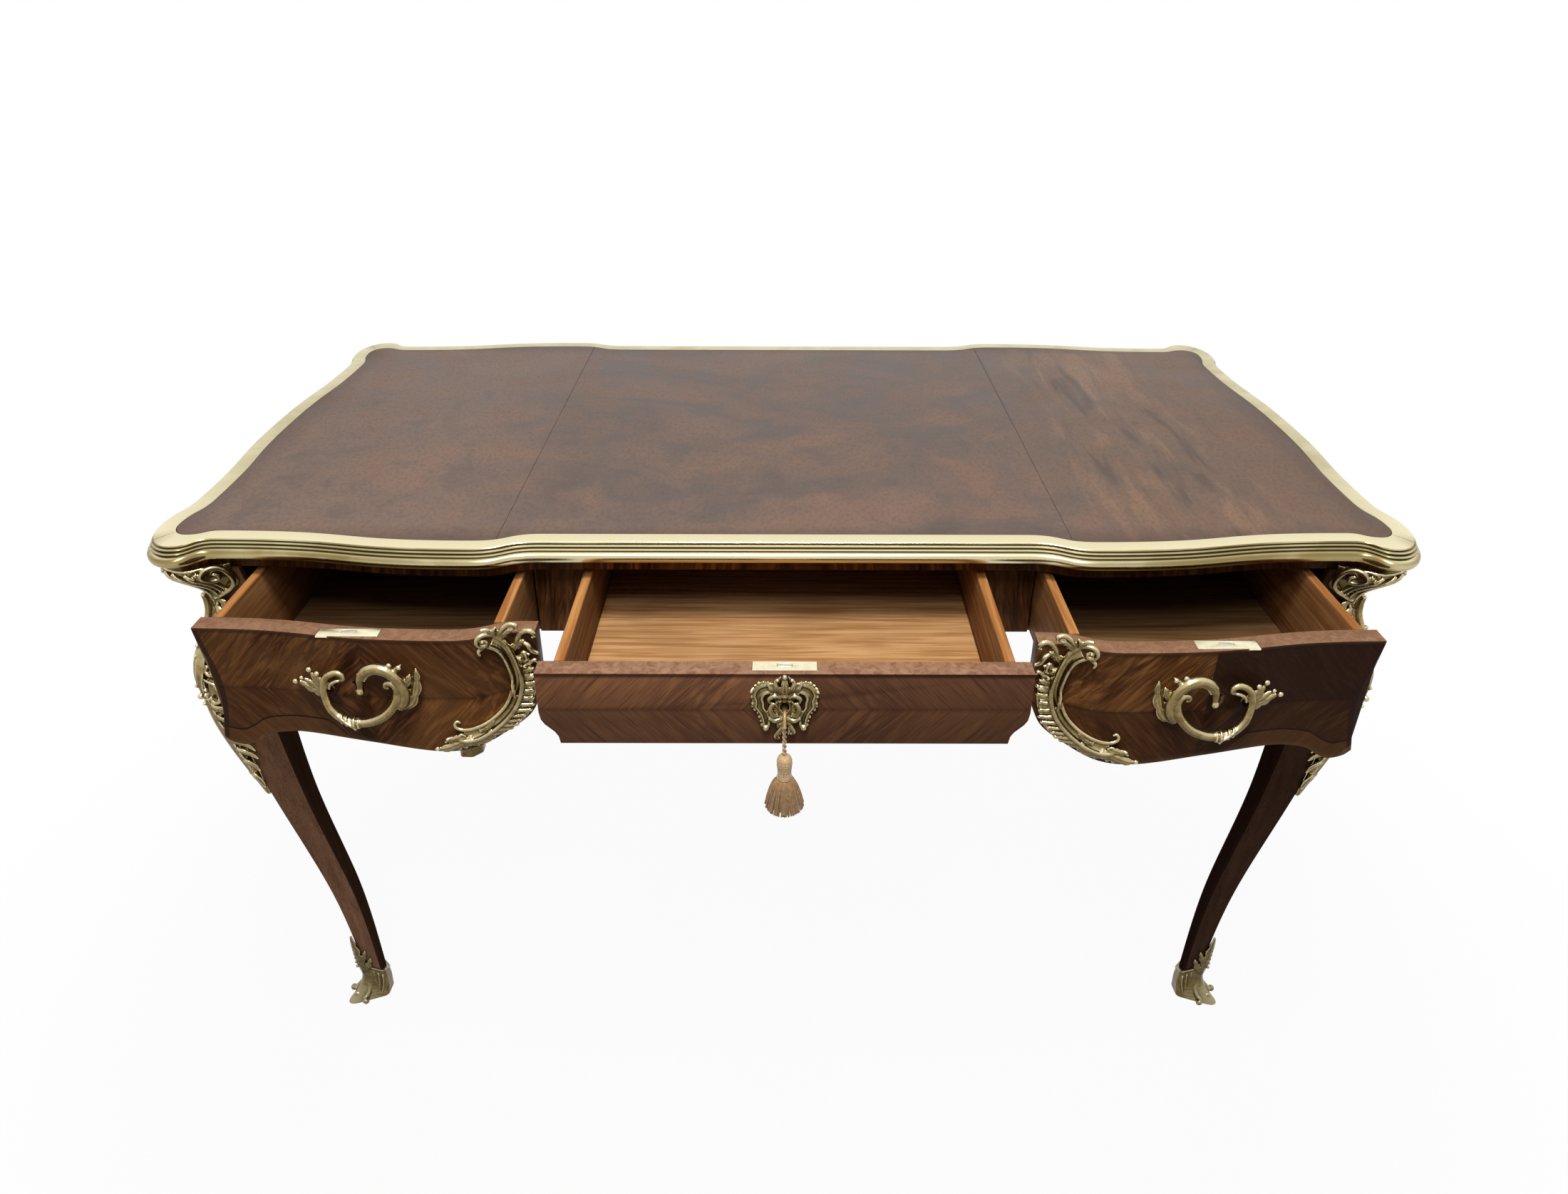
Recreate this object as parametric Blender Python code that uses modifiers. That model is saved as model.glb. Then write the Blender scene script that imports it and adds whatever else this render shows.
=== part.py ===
"""Serpentine writing table with three frieze drawers, cabriole legs and gilt mounts.

Metres, +Z up, the front faces -Y and the feet stand on Z = 0.  Plan sizes are taken from the table's
own centre lines, and the drawers are drawn closed and then pulled out on their slide empties.
"""

from math import cos, pi, radians, sin

import bmesh
import bpy
from mathutils import Matrix, Vector

# Top, measured to the outermost line of its brass edge
TABLE_HEIGHT = 0.770
TOP_HALF_WIDTH = 0.696
TOP_HALF_DEPTH = 0.385
CENTRE_RECESS = 0.017
RECESS_START = 0.262
RECESS_END = 0.335
BAY_SWEEP = 0.0235
EAR_WAIST_SETBACK = 0.084
EAR_FRONT_SETBACK = 0.042
EAR_SIDE_SETBACK = 0.001
EAR_SIDE_DROP = 0.067
EAR_PINCH = 0.23
WAIST_SETBACK = 0.011
WAIST_DROP = 0.135
EDGE_HEIGHT = 0.0235
EDGE_BAND = 0.020
EDGE_PROJECTION = 0.0085
EDGE_FILLET = 0.0035
UNDERBOARD_THICKNESS = 0.0173
UNDERBOARD_INSET = 0.023
LEATHER_THICKNESS = 0.002
LEATHER_SEAM_X = 0.310
SEAM_GAP = 0.0004

# Fits
GAP = 0.0003
RUNNING_GAP = 0.0004

# Drawer fronts, closed
FRIEZE_SETBACK = 0.027
FRONT_THICKNESS = 0.022
DRAWER_HEAD_GAP = 0.004
SIDE_FRONT_LEG_GAP = 0.0015
SIDE_FRONT_INNER = 0.2505
SIDE_FRONT_HEIGHT = 0.145
SIDE_FRONT_HOLLOW = 0.011
TOE_WIDTH = 0.012
ARCH_SETBACK = 0.097
ARCH_RISE = 0.0215
DIP_X = 0.352
DIP_RISE = 0.009
SHOULDER_X = 0.268
SHOULDER_RISE = 0.042
CENTRE_FRONT_HALF = 0.2365
CENTRE_FRONT_HEIGHT = 0.081
NOTCH_WIDTH = 0.018
NOTCH_HEIGHT = 0.036

# Drawer boxes
SIDE_BOX_SETBACK = 0.012
SIDE_BOX_INNER = 0.285
SIDE_BOX_HEIGHT = 0.091
CENTRE_BOX_HALF = 0.222
CENTRE_BOX_HEIGHT = 0.073
BOX_LENGTH = 0.340
BOX_BOARD = 0.011
BOX_FLOOR = 0.007
BOX_BACK_DROP = 0.010
LEFT_OPENING = 0.130
CENTRE_OPENING = 0.205
RIGHT_OPENING = 0.150

# Carcass
STILE_HALF_WIDTH = 0.029
STILE_X = 0.2535
STILE_DEPTH = 0.024
WEB_THICKNESS = 0.022
RUNNER_THICKNESS = 0.012
RUNNER_LAP = 0.014
FRIEZE_THICKNESS = 0.020
SIDE_FRIEZE_SETBACK = 0.048
SIDE_FRIEZE_BOW = 0.008
SIDE_FRIEZE_HEIGHT = 0.140
SIDE_ARCH_Y = 0.165
SIDE_ARCH_RISE = 0.030
SIDE_PENDANT_RISE = 0.012

# Cabriole legs: outer and inner corner lines, measured in from the top's side line
LEG_END_SHIFT = 0.003
LEG_BLOCK_INNER = 0.0975
LEG_BLOCK_OUTER = 0.040
LEG_NECK_OUTER = 0.048
LEG_NECK_DROP = 0.045
LEG_KNEE_OUTER = 0.022
LEG_KNEE_DROP = 0.152
LEG_BLOCK_DROP = 0.165
LEG_THIGH_OUTER = 0.048
LEG_THIGH_INNER = 0.098
LEG_THIGH_HEIGHT = 0.400
LEG_SHIN_OUTER = 0.077
LEG_SHIN_INNER = 0.113
LEG_SHIN_HEIGHT = 0.200
LEG_ANKLE_OUTER = 0.0885
LEG_ANKLE_INNER = 0.1165
LEG_ANKLE_HEIGHT = 0.045
LEG_TOE_OUTER = 0.084
LEG_TOE_INNER = 0.1165
LEG_CORNER_ROUND = 0.30
LEG_INNER_CHAMFER = 0.42
LEG_CORNER_ANGLES = (0.0, 30.0, 60.0, 90.0)
LEG_BARE_LEVELS = 7
LEG_SHOD_LEVELS = 4

# Sabots
SABOT_SOLE = 0.004
SABOT_WALL = 0.0035
SABOT_FRONT_HEIGHT = 0.118
SABOT_HEEL_HEIGHT = 0.034
SABOT_TOE_KICK = 0.016

# Corner mounts
MOUNT_THICKNESS = 0.007
MOUNT_HEAD_ARM = 0.048
MOUNT_NECK_ARM = 0.020
MOUNT_KNEE_ARM = 0.031
MOUNT_TIP_ARM = 0.012
MOUNT_LENGTH = 0.330
MOUNT_FLARE = 0.026
MOUNT_FLARE_DROP = 0.065

# Locks, measured down from the drawers' top edge
LOCK_WIDTH = 0.062
LOCK_BODY_THICKNESS = 0.0115
SELVEDGE_DEPTH = 0.0155
SELVEDGE_THICKNESS = 0.002
SIDE_LOCK_SETBACK = 0.161
SIDE_KEY_DROP = 0.054
CENTRE_KEY_DROP = 0.035
LOCK_TAIL = 0.014
BOLT_WIDTH = 0.014
BOLT_THICKNESS = 0.005
BOLT_LENGTH = 0.020
BOLT_THROW = 0.008
KEY_WELL_RADIUS = 0.0105
KEY_WELL_DEPTH = 0.0085
KEYHOLE_RADIUS = 0.0030
KEYHOLE_SLOT = 0.0034
KEYHOLE_DROP = 0.0100

# Key
KEY_SHANK_RADIUS = 0.0025
KEY_STANDOFF = 0.017
KEY_BOW_RADIUS = 0.0085
KEY_BOW_WIRE = 0.0017
KEY_BIT_REACH = 0.0085
KEY_BIT_THICKNESS = 0.0024
KEY_BIT_WIDTH = 0.0055

# Cord and tassel
CORD_RADIUS = 0.0013
CORD_LENGTH = 0.032
TASSEL_HEAD_RADIUS = 0.0080
TASSEL_HEAD_HEIGHT = 0.0240
TASSEL_NECK_RADIUS = 0.0056
TASSEL_SKIRT_RADIUS = 0.0175
TASSEL_SKIRT_HEIGHT = 0.0440

# Gilt mounts on the fronts
HANDLE_REACH_OUTER = 0.0585
HANDLE_REACH_INNER = 0.071
HANDLE_RISE = 0.028
HANDLE_DROP = 0.0405
HANDLE_RADIUS = 0.0050
HANDLE_STANDOFF = 0.0150
HANDLE_FOOT_RADIUS = 0.0055
HANDLE_DROP_RADIUS = 0.0042
SCROLL_OUTER_HALF = 0.0165
SCROLL_INNER_HALF = 0.0120
SCROLL_RELIEF = 0.0085
SCROLL_STEPS = 2
ESCUTCHEON_HALF_WIDTH = 0.031
ESCUTCHEON_HEIGHT = 0.076
ESCUTCHEON_THICKNESS = 0.0055
ESCUTCHEON_HEAD_GAP = 0.001

# Levels that follow from the sizes above
EDGE_WIDTH = EDGE_BAND + EDGE_PROJECTION
EDGE_BOTTOM = TABLE_HEIGHT - EDGE_HEIGHT
UNDERSIDE = EDGE_BOTTOM - GAP - UNDERBOARD_THICKNESS
DRAWER_TOP = UNDERSIDE - DRAWER_HEAD_GAP
SIDE_FRONT_LOW = DRAWER_TOP - SIDE_FRONT_HEIGHT
CENTRE_FRONT_LOW = DRAWER_TOP - CENTRE_FRONT_HEIGHT
SIDE_BOX_LOW = DRAWER_TOP - SIDE_BOX_HEIGHT
CENTRE_BOX_LOW = DRAWER_TOP - CENTRE_BOX_HEIGHT
CENTRE_HALF_DEPTH = TOP_HALF_DEPTH - CENTRE_RECESS
CENTRE_FACE_Y = FRIEZE_SETBACK - CENTRE_HALF_DEPTH
STILE_FRONT_Y = CENTRE_FACE_Y + FRONT_THICKNESS + RUNNING_GAP
LEG_DIAGONAL = TOP_HALF_WIDTH - TOP_HALF_DEPTH + LEG_END_SHIFT
LEG_FACE_X = TOP_HALF_WIDTH - LEG_BLOCK_INNER
LEG_FACE_Y = LEG_FACE_X - LEG_DIAGONAL
SIDE_FRONT_OUTER = LEG_FACE_X - SIDE_FRONT_LEG_GAP
SIDE_BOX_OUTER = SIDE_FRONT_OUTER - SIDE_BOX_SETBACK
SIDE_LOCK_X = SIDE_FRONT_OUTER - SIDE_LOCK_SETBACK
ARCH_X = SIDE_FRONT_OUTER - ARCH_SETBACK
CENTRE_KEY_Z = DRAWER_TOP - CENTRE_KEY_DROP
SIDE_KEY_Z = DRAWER_TOP - SIDE_KEY_DROP
BOW_Y = CENTRE_FACE_Y - ESCUTCHEON_THICKNESS - KEY_STANDOFF
CORD_TOP_Z = CENTRE_KEY_Z - KEY_BOW_RADIUS - KEY_BOW_WIRE - GAP
TASSEL_TOP_Z = CORD_TOP_Z - CORD_LENGTH - GAP
FRONT_REACH = CENTRE_OPENING - BOW_Y + KEY_BOW_RADIUS + KEY_BOW_WIRE
CENTRING = (FRONT_REACH - TOP_HALF_DEPTH) / 2.0

HALF_TURN = [pi * step / 6 for step in range(7)]
TABLE_COLLECTION = "writing_table"
CUTTER_COLLECTION = "cutters"


# Curves and outlines


def bend(start, start_way, end, end_way, steps):
    """Points of one Bezier span between two axis-parallel tangents, without its end point."""
    start, end = Vector(start), Vector(end)
    reach = end - start
    grip = 0.55
    first = start + Vector((abs(reach.x) * start_way[0], abs(reach.y) * start_way[1])) * grip
    second = end - Vector((abs(reach.x) * end_way[0], abs(reach.y) * end_way[1])) * grip
    points = []
    for step in range(steps):
        t = step / steps
        u = 1.0 - t
        points.append(start * u**3 + first * (3 * u * u * t) + second * (3 * u * t * t) + end * t**3)
    return points


def through(points, steps):
    """Smooth curve through the given points, with the same number of steps in every span."""
    knots = [Vector(point) for point in points]
    knots = [knots[0] * 2 - knots[1]] + knots + [knots[-1] * 2 - knots[-2]]
    curve = []
    for a, b, c, d in zip(knots, knots[1:], knots[2:], knots[3:]):
        for step in range(steps):
            t = step / steps
            square = 2 * a - 5 * b + 4 * c - d
            cube = 3 * b - a - 3 * c + d
            curve.append(0.5 * (2 * b + (c - a) * t + square * t**2 + cube * t**3))
    curve.append(knots[-2])
    return curve


def quarter_plan(inset=0.0):
    """Front right quarter of the brass edge, or of a line inside it, and its corner's index."""
    right, back = (1.0, 0.0), (0.0, 1.0)
    centre_y = inset - CENTRE_HALF_DEPTH
    bay_y = inset - TOP_HALF_DEPTH
    middle = (0.0, centre_y)
    step_in = (RECESS_START, centre_y)
    step_out = (RECESS_END, bay_y)
    side_x = TOP_HALF_WIDTH - inset
    waist = (TOP_HALF_WIDTH - EAR_WAIST_SETBACK, bay_y + BAY_SWEEP)
    ear_front = (TOP_HALF_WIDTH - EAR_FRONT_SETBACK - EAR_PINCH * inset, bay_y + 2.0 * EAR_PINCH * inset)
    ear_side = (side_x - EAR_SIDE_SETBACK, EAR_SIDE_DROP - TOP_HALF_DEPTH)
    side_waist = (side_x - WAIST_SETBACK, WAIST_DROP - TOP_HALF_DEPTH)
    end = (side_x, 0.0)
    points = bend(middle, right, step_in, right, 2)
    points += bend(step_in, right, step_out, right, 6)
    points += bend(step_out, right, waist, right, 8)
    points += bend(waist, right, ear_front, right, 4)
    corner_start = len(points)
    points += bend(ear_front, right, ear_side, back, 6)
    points += bend(ear_side, back, side_waist, back, 4)
    points += bend(side_waist, back, end, back, 5)
    return points + [Vector(end)], corner_start + 3


def whole_plan(inset=0.0):
    """Closed plan, anticlockwise from the front's middle, and the indices of its four corners."""
    quarter, corner = quarter_plan(inset)
    mirrored_back = [Vector((p.x, -p.y)) for p in reversed(quarter[1:-1])]
    right_half = quarter + mirrored_back + [Vector((0.0, -quarter[0].y))]
    left_half = [Vector((-p.x, p.y)) for p in reversed(right_half[1:-1])]
    count = len(right_half) + len(left_half)
    back_corner = 2 * (len(quarter) - 1) - corner
    return right_half + left_half, (corner, back_corner, count - back_corner, count - corner)


def front_edge_y(x):
    """Y of the brass edge's front line at a distance x from the middle."""
    line, _ = quarter_plan()
    x = abs(x)
    for a, b in zip(line, line[1:]):
        if a.x <= x <= b.x:
            return a.y + (b.y - a.y) * (x - a.x) / (b.x - a.x)
    return line[-1].y


def face_y(x):
    """Y of a closed side drawer's front face."""
    return front_edge_y(x) + FRIEZE_SETBACK


def plan_places(low, high):
    """X values of the front line's own points between two ends, with the ends."""
    line, _ = quarter_plan()
    knots = {point.x * sign for point in line for sign in (-1.0, 1.0)}
    return [low] + sorted(x for x in knots if low < x < high) + [high]


def clip(plan, low, high):
    """The part of a closed plan between two X values."""
    for edge, sign in ((low, 1.0), (high, -1.0)):
        kept = []
        for a, b in zip(plan, plan[1:] + plan[:1]):
            inside_a, inside_b = (a.x - edge) * sign >= 0, (b.x - edge) * sign >= 0
            if inside_a:
                kept.append(a)
            if inside_a != inside_b:
                kept.append(a.lerp(b, (edge - a.x) / (b.x - a.x)))
        plan = kept
    return plan


def spread(low, high, count):
    """Evenly spaced values from low to high."""
    return [low + (high - low) * index / (count - 1) for index in range(count)]


def mirrored(points, sign):
    """Outline points with their first coordinate turned to the left or right side."""
    return [Vector((p[0] * sign, *p[1:])) for p in points]


# Scene, carriers and materials


def clear_scene():
    """Remove whatever the file held."""
    for old in list(bpy.data.objects):
        bpy.data.objects.remove(old, do_unlink=True)


def new_collection(name):
    """A collection linked to the scene."""
    collection = bpy.data.collections.new(name)
    bpy.context.scene.collection.children.link(collection)
    return collection


def new_material(name, colour, roughness, metallic):
    """A Principled material."""
    material = bpy.data.materials.new(name)
    material.use_nodes = True
    shader = material.node_tree.nodes["Principled BSDF"]
    shader.inputs["Base Color"].default_value = (*colour, 1.0)
    shader.inputs["Roughness"].default_value = roughness
    shader.inputs["Metallic"].default_value = metallic
    material.diffuse_color = (*colour, 1.0)
    return material


class Carrier:
    """An empty that carries pieces, with the place where it stands when everything is closed."""

    def __init__(self, name, base, parent=None, travel=(0.0, 0.0, 0.0)):
        self.base = Vector(base)
        self.empty = bpy.data.objects.new(name, None)
        bpy.data.collections[TABLE_COLLECTION].objects.link(self.empty)
        self.empty.empty_display_size = 0.05
        parent_base = parent.base if parent else Vector()
        self.empty.parent = parent.empty if parent else None
        self.empty.location = self.base - parent_base + Vector(travel)

    def take(self, piece, material):
        """Carry a piece whose location is given with everything closed."""
        piece.location = Vector(piece.location) - self.base
        piece.parent = self.empty
        piece.data.materials.clear()
        piece.data.materials.append(material)
        return piece


# Solids


def new_object(name, mesh, collection=TABLE_COLLECTION):
    """An object in one of the two collections."""
    piece = bpy.data.objects.new(name, mesh)
    bpy.data.collections[collection].objects.link(piece)
    return piece


def as_cutter(piece):
    """Turn a piece into a cutter, kept out of the finished table."""
    for collection in piece.users_collection:
        collection.objects.unlink(piece)
    bpy.data.collections[CUTTER_COLLECTION].objects.link(piece)
    piece.hide_render = True
    piece.display_type = "WIRE"
    return piece


def board(name, low, high):
    """A square board between two corners, with its origin in its middle."""
    low, high = Vector(low), Vector(high)
    mesh = bpy.data.meshes.new(name)
    shape = bmesh.new()
    bmesh.ops.create_cube(shape, size=1.0)
    bmesh.ops.scale(shape, vec=high - low, verts=shape.verts)
    shape.to_mesh(mesh)
    shape.free()
    piece = new_object(name, mesh)
    piece.location = (low + high) / 2.0
    return piece


def curve_to_mesh(curve_object, name):
    """A closed mesh object in place of a curve object."""
    bpy.context.view_layer.update()
    graph = bpy.context.evaluated_depsgraph_get()
    mesh = bpy.data.meshes.new_from_object(curve_object.evaluated_get(graph))
    shape = bmesh.new()
    shape.from_mesh(mesh)
    bmesh.ops.remove_doubles(shape, verts=shape.verts, dist=0.000001)
    bmesh.ops.recalc_face_normals(shape, faces=shape.faces)
    shape.to_mesh(mesh)
    shape.free()
    piece = new_object(name, mesh)
    piece.matrix_world = curve_object.matrix_world
    bpy.data.objects.remove(curve_object, do_unlink=True)
    return piece


PLANES = {
    "XY": Matrix.Identity(4),
    "XZ": Matrix(((1, 0, 0, 0), (0, 0, 1, 0), (0, 1, 0, 0), (0, 0, 0, 1))),
    "YZ": Matrix(((0, 0, 1, 0), (1, 0, 0, 0), (0, 1, 0, 0), (0, 0, 0, 1))),
}


def slab(name, outline, low, high, plane="XY"):
    """A flat outline in a plane, extruded from low to high along that plane's normal."""
    curve = bpy.data.curves.new(name, "CURVE")
    curve.dimensions = "2D"
    curve.fill_mode = "BOTH"
    curve.extrude = (high - low) / 2.0
    spline = curve.splines.new("POLY")
    spline.points.add(len(outline) - 1)
    for knot, point in zip(spline.points, outline):
        knot.co = (point[0], point[1], 0.0, 1.0)
    spline.use_cyclic_u = True
    piece = curve_to_mesh(new_object(name + "_outline", curve), name)
    piece.data.transform(PLANES[plane] @ Matrix.Translation((0.0, 0.0, (low + high) / 2.0)))
    point_out(piece.data)
    return piece


def point_out(mesh):
    """Turn a closed mesh's faces outwards."""
    shape = bmesh.new()
    shape.from_mesh(mesh)
    bmesh.ops.recalc_face_normals(shape, faces=shape.faces)
    shape.to_mesh(mesh)
    shape.free()


def loft(name, rings):
    """A closed solid through rings of equal point counts, capped at both ends."""
    mesh = bpy.data.meshes.new(name)
    shape = bmesh.new()
    rows = [[shape.verts.new(point) for point in ring] for ring in rings]
    for row, following in zip(rows, rows[1:]):
        for index in range(len(row)):
            after = (index + 1) % len(row)
            shape.faces.new((row[index], row[after], following[after], following[index]))
    shape.faces.new(rows[0])
    shape.faces.new(rows[-1])
    bmesh.ops.recalc_face_normals(shape, faces=shape.faces)
    shape.to_mesh(mesh)
    shape.free()
    return new_object(name, mesh)


def tube(name, points, radii, resolution=2):
    """A round bar along a row of points, with a radius at each."""
    curve = bpy.data.curves.new(name, "CURVE")
    curve.dimensions = "3D"
    curve.bevel_depth = 1.0
    curve.bevel_resolution = resolution
    curve.use_fill_caps = True
    spline = curve.splines.new("POLY")
    spline.points.add(len(points) - 1)
    for knot, point, radius in zip(spline.points, points, radii):
        knot.co = (*point, 1.0)
        knot.radius = radius
    piece = curve_to_mesh(new_object(name + "_path", curve), name)
    return smooth_faces(piece)


def rod(name, start, end, radius, sides=16):
    """A straight round rod between two points."""
    start, end = Vector(start), Vector(end)
    mesh = bpy.data.meshes.new(name)
    shape = bmesh.new()
    length = (end - start).length
    bmesh.ops.create_cone(
        shape, cap_ends=True, segments=sides, radius1=radius, radius2=radius, depth=length
    )
    turn = (end - start).to_track_quat("Z", "Y").to_matrix().to_4x4()
    shape.transform(turn)
    shape.to_mesh(mesh)
    shape.free()
    piece = new_object(name, mesh)
    piece.location = (start + end) / 2.0
    return smooth_faces(piece)


def turned(name, profile, steps):
    """A turned solid about Z from a profile of radius and height, listed from the top down."""
    mesh = bpy.data.meshes.new(name)
    shape = bmesh.new()
    row = [shape.verts.new((radius, 0.0, height)) for radius, height in profile]
    for above, below in zip(row, row[1:]):
        shape.edges.new((above, below))
    shape.to_mesh(mesh)
    shape.free()
    piece = new_object(name, mesh)
    screw = piece.modifiers.new("turn", "SCREW")
    screw.steps = steps
    screw.render_steps = steps
    screw.use_merge_vertices = True
    screw.merge_threshold = 0.00001
    screw.use_smooth_shade = True
    return piece


def smooth_faces(piece, angle=40.0):
    """Shade a round piece smooth up to a crease angle."""
    piece.data.shade_smooth()
    piece.data.set_sharp_from_angle(angle=radians(angle))
    return piece


def combine(piece, other, operation):
    """Cut, join or intersect a piece with a cutter."""
    modifier = piece.modifiers.new(operation.lower(), "BOOLEAN")
    modifier.operation = operation
    modifier.solver = "EXACT"
    modifier.object = as_cutter(other)
    return piece


# Top


def edge_profile():
    """Section of the brass edge as inset from its outermost line and height."""
    lip = EDGE_PROJECTION
    roll = EDGE_HEIGHT * 0.30
    centre = EDGE_BOTTOM + roll
    section = [(EDGE_WIDTH, EDGE_BOTTOM), (EDGE_WIDTH, TABLE_HEIGHT), (lip, TABLE_HEIGHT)]
    section += [(lip * 0.95, TABLE_HEIGHT - EDGE_FILLET), (lip * 0.62, TABLE_HEIGHT - EDGE_FILLET * 1.4)]
    section += [(lip * 0.62, centre + roll * 1.15)]
    for angle in (60.0, 20.0, -20.0, -60.0):
        swell = radians(angle)
        section.append((lip * 0.62 * (1.0 - cos(swell)), centre + roll * sin(swell)))
    section.append((lip * 0.7, EDGE_BOTTOM))
    return section


def build_top(root, finish):
    """Board, leather panels and brass edge."""
    field, corners = whole_plan(EDGE_WIDTH + GAP)
    top = slab("top_board", whole_plan(UNDERBOARD_INSET)[0], UNDERSIDE, EDGE_BOTTOM - GAP)
    upper = slab(
        "top_board_field",
        field,
        UNDERSIDE + UNDERBOARD_THICKNESS / 2.0,
        TABLE_HEIGHT - LEATHER_THICKNESS - GAP,
    )
    root.take(upper, finish["veneer"])
    root.take(top, finish["veneer"])
    combine(top, upper, "UNION")
    for x, y in bolt_places():
        slack = 2.0 * RUNNING_GAP
        low = (x - BOLT_WIDTH / 2.0 - slack, y - BOLT_THICKNESS / 2.0 - slack, UNDERSIDE - slack)
        high = (x + BOLT_WIDTH / 2.0 + slack, y + BOLT_THICKNESS / 2.0 + slack, UNDERSIDE + BOLT_THROW)
        combine(top, root.take(board("bolt_mortise", low, high), finish["veneer"]), "DIFFERENCE")

    seam = LEATHER_SEAM_X
    half_gap = SEAM_GAP / 2.0
    reach = TOP_HALF_WIDTH
    panels = (
        ("leather_left", -reach, -seam - half_gap),
        ("leather_centre", -seam + half_gap, seam - half_gap),
        ("leather_right", seam + half_gap, reach),
    )
    for name, low, high in panels:
        panel = slab(name, clip(field, low, high), TABLE_HEIGHT - LEATHER_THICKNESS, TABLE_HEIGHT)
        root.take(panel, finish["leather"])

    section = edge_profile()
    lines = [whole_plan(distance)[0] for distance, _ in section]
    rings = [
        [Vector((*line[index], height)) for line, (_, height) in zip(lines, section)]
        for index in range(len(field))
    ]
    ring_count = len(rings)
    spans = (
        ("edge_right", corners[0], corners[1]),
        ("edge_back", corners[1], corners[2]),
        ("edge_left", corners[2], corners[3]),
        ("edge_front", corners[3], corners[0] + ring_count),
    )
    for name, first, last in spans:
        stretch = [rings[index % ring_count] for index in range(first, last + 1)]
        step = (stretch[1][0] - stretch[0][0]).length
        stretch[0] = [a.lerp(b, SEAM_GAP / step) for a, b in zip(stretch[0], stretch[1])]
        root.take(smooth_faces(loft(name, stretch), 30.0), finish["brass"])


# Legs, sabots and corner mounts


def leg_stations():
    """Outer and inner corner lines of a leg, as height, outer and inner, from the foot up."""
    setbacks = (
        (0.0, LEG_TOE_OUTER, LEG_TOE_INNER),
        (LEG_ANKLE_HEIGHT, LEG_ANKLE_OUTER, LEG_ANKLE_INNER),
        (LEG_SHIN_HEIGHT, LEG_SHIN_OUTER, LEG_SHIN_INNER),
        (LEG_THIGH_HEIGHT, LEG_THIGH_OUTER, LEG_THIGH_INNER),
        (UNDERSIDE - LEG_KNEE_DROP, LEG_KNEE_OUTER, LEG_BLOCK_INNER),
        (UNDERSIDE - LEG_NECK_DROP, LEG_NECK_OUTER, LEG_BLOCK_INNER),
        (UNDERSIDE, LEG_BLOCK_OUTER, LEG_BLOCK_INNER),
    )
    return [(height, TOP_HALF_WIDTH - outer, TOP_HALF_WIDTH - inner) for height, outer, inner in setbacks]


def leg_lines(height):
    """Outer and inner corner distances of a leg at a height."""
    curve = through(leg_stations(), 12)
    for a, b in zip(curve, curve[1:]):
        if a.x <= height <= b.x:
            level = a.lerp(b, (height - a.x) / (b.x - a.x))
            inner = LEG_FACE_X if height >= UNDERSIDE - LEG_BLOCK_DROP else level.z
            return level.y, inner
    return curve[-1].y, curve[-1].z


def leg_section(height, grow=0.0):
    """Section of a leg: a square with a rounded outer and a chamfered inner corner."""
    outer, inner = leg_lines(height)
    width = outer - inner
    round_off = width * LEG_CORNER_ROUND
    chamfer = width * LEG_INNER_CHAMFER
    outer, inner = outer + grow, inner - grow
    centre = outer - round_off
    turn = [radians(angle) for angle in LEG_CORNER_ANGLES]
    arc = [(centre + round_off * cos(angle), centre + round_off * sin(angle)) for angle in turn]
    rest = [(inner, outer), (inner, inner + chamfer), (inner + chamfer, inner), (outer, inner)]
    return [Vector((x, y - LEG_DIAGONAL)) for x, y in arc + rest]


def to_corner(point, height, side, end):
    """A point of the master leg moved to one of the four corners."""
    return Vector((point.x * side, point.y * end, height))


def build_leg(name, side, end, root, finish):
    """One cabriole leg with its sabot and its corner mount."""
    covered = [height for height, _, _ in mount_levels()]
    shod = spread(SABOT_SOLE + GAP, SABOT_FRONT_HEIGHT + 2.0 * SABOT_WALL, LEG_SHOD_LEVELS)
    bare = spread(shod[-1], covered[-1], LEG_BARE_LEVELS)[1:-1]
    heights = shod + bare + covered[::-1]
    rings = [[to_corner(p, z, side, end) for p in leg_section(z)] for z in heights]
    root.take(smooth_faces(loft("leg_" + name, rings), 35.0), finish["veneer"])

    sabot = root.take(smooth_faces(loft("sabot_" + name, sabot_rings(side, end))), finish["gilt"])
    well_rings = [[to_corner(p, z, side, end) for p in leg_section(z, RUNNING_GAP)] for z in shod]
    well_rings[0] = [Vector((p.x, p.y, SABOT_SOLE)) for p in well_rings[0]]
    combine(sabot, root.take(loft("sabot_well", well_rings), finish["gilt"]), "DIFFERENCE")

    mount = loft("corner_mount_" + name, corner_mount_rings(side, end))
    root.take(smooth_faces(mount, 50.0), finish["gilt"])


def sabot_rings(side, end):
    """Outer rings of a foot shoe, higher on its outer corner and kicked out at the toe."""
    rings = []
    base = leg_section(0.0)
    inmost, outmost = min(p.x + p.y for p in base), max(p.x + p.y for p in base)
    for share in (0.0, 0.12, 0.3, 0.55, 0.8, 1.0):
        ring = []
        for index, corner in enumerate(base):
            forward = (corner.x + corner.y - inmost) / (outmost - inmost)
            top = SABOT_HEEL_HEIGHT + (SABOT_FRONT_HEIGHT - SABOT_HEEL_HEIGHT) * forward
            height = top * share
            point = leg_section(height, SABOT_WALL)[index]
            kick = SABOT_TOE_KICK * forward**3 * (1.0 - share) ** 4
            ring.append(to_corner(point + Vector((kick, kick)), height, side, end))
        rings.append(ring)
    return rings


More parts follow.
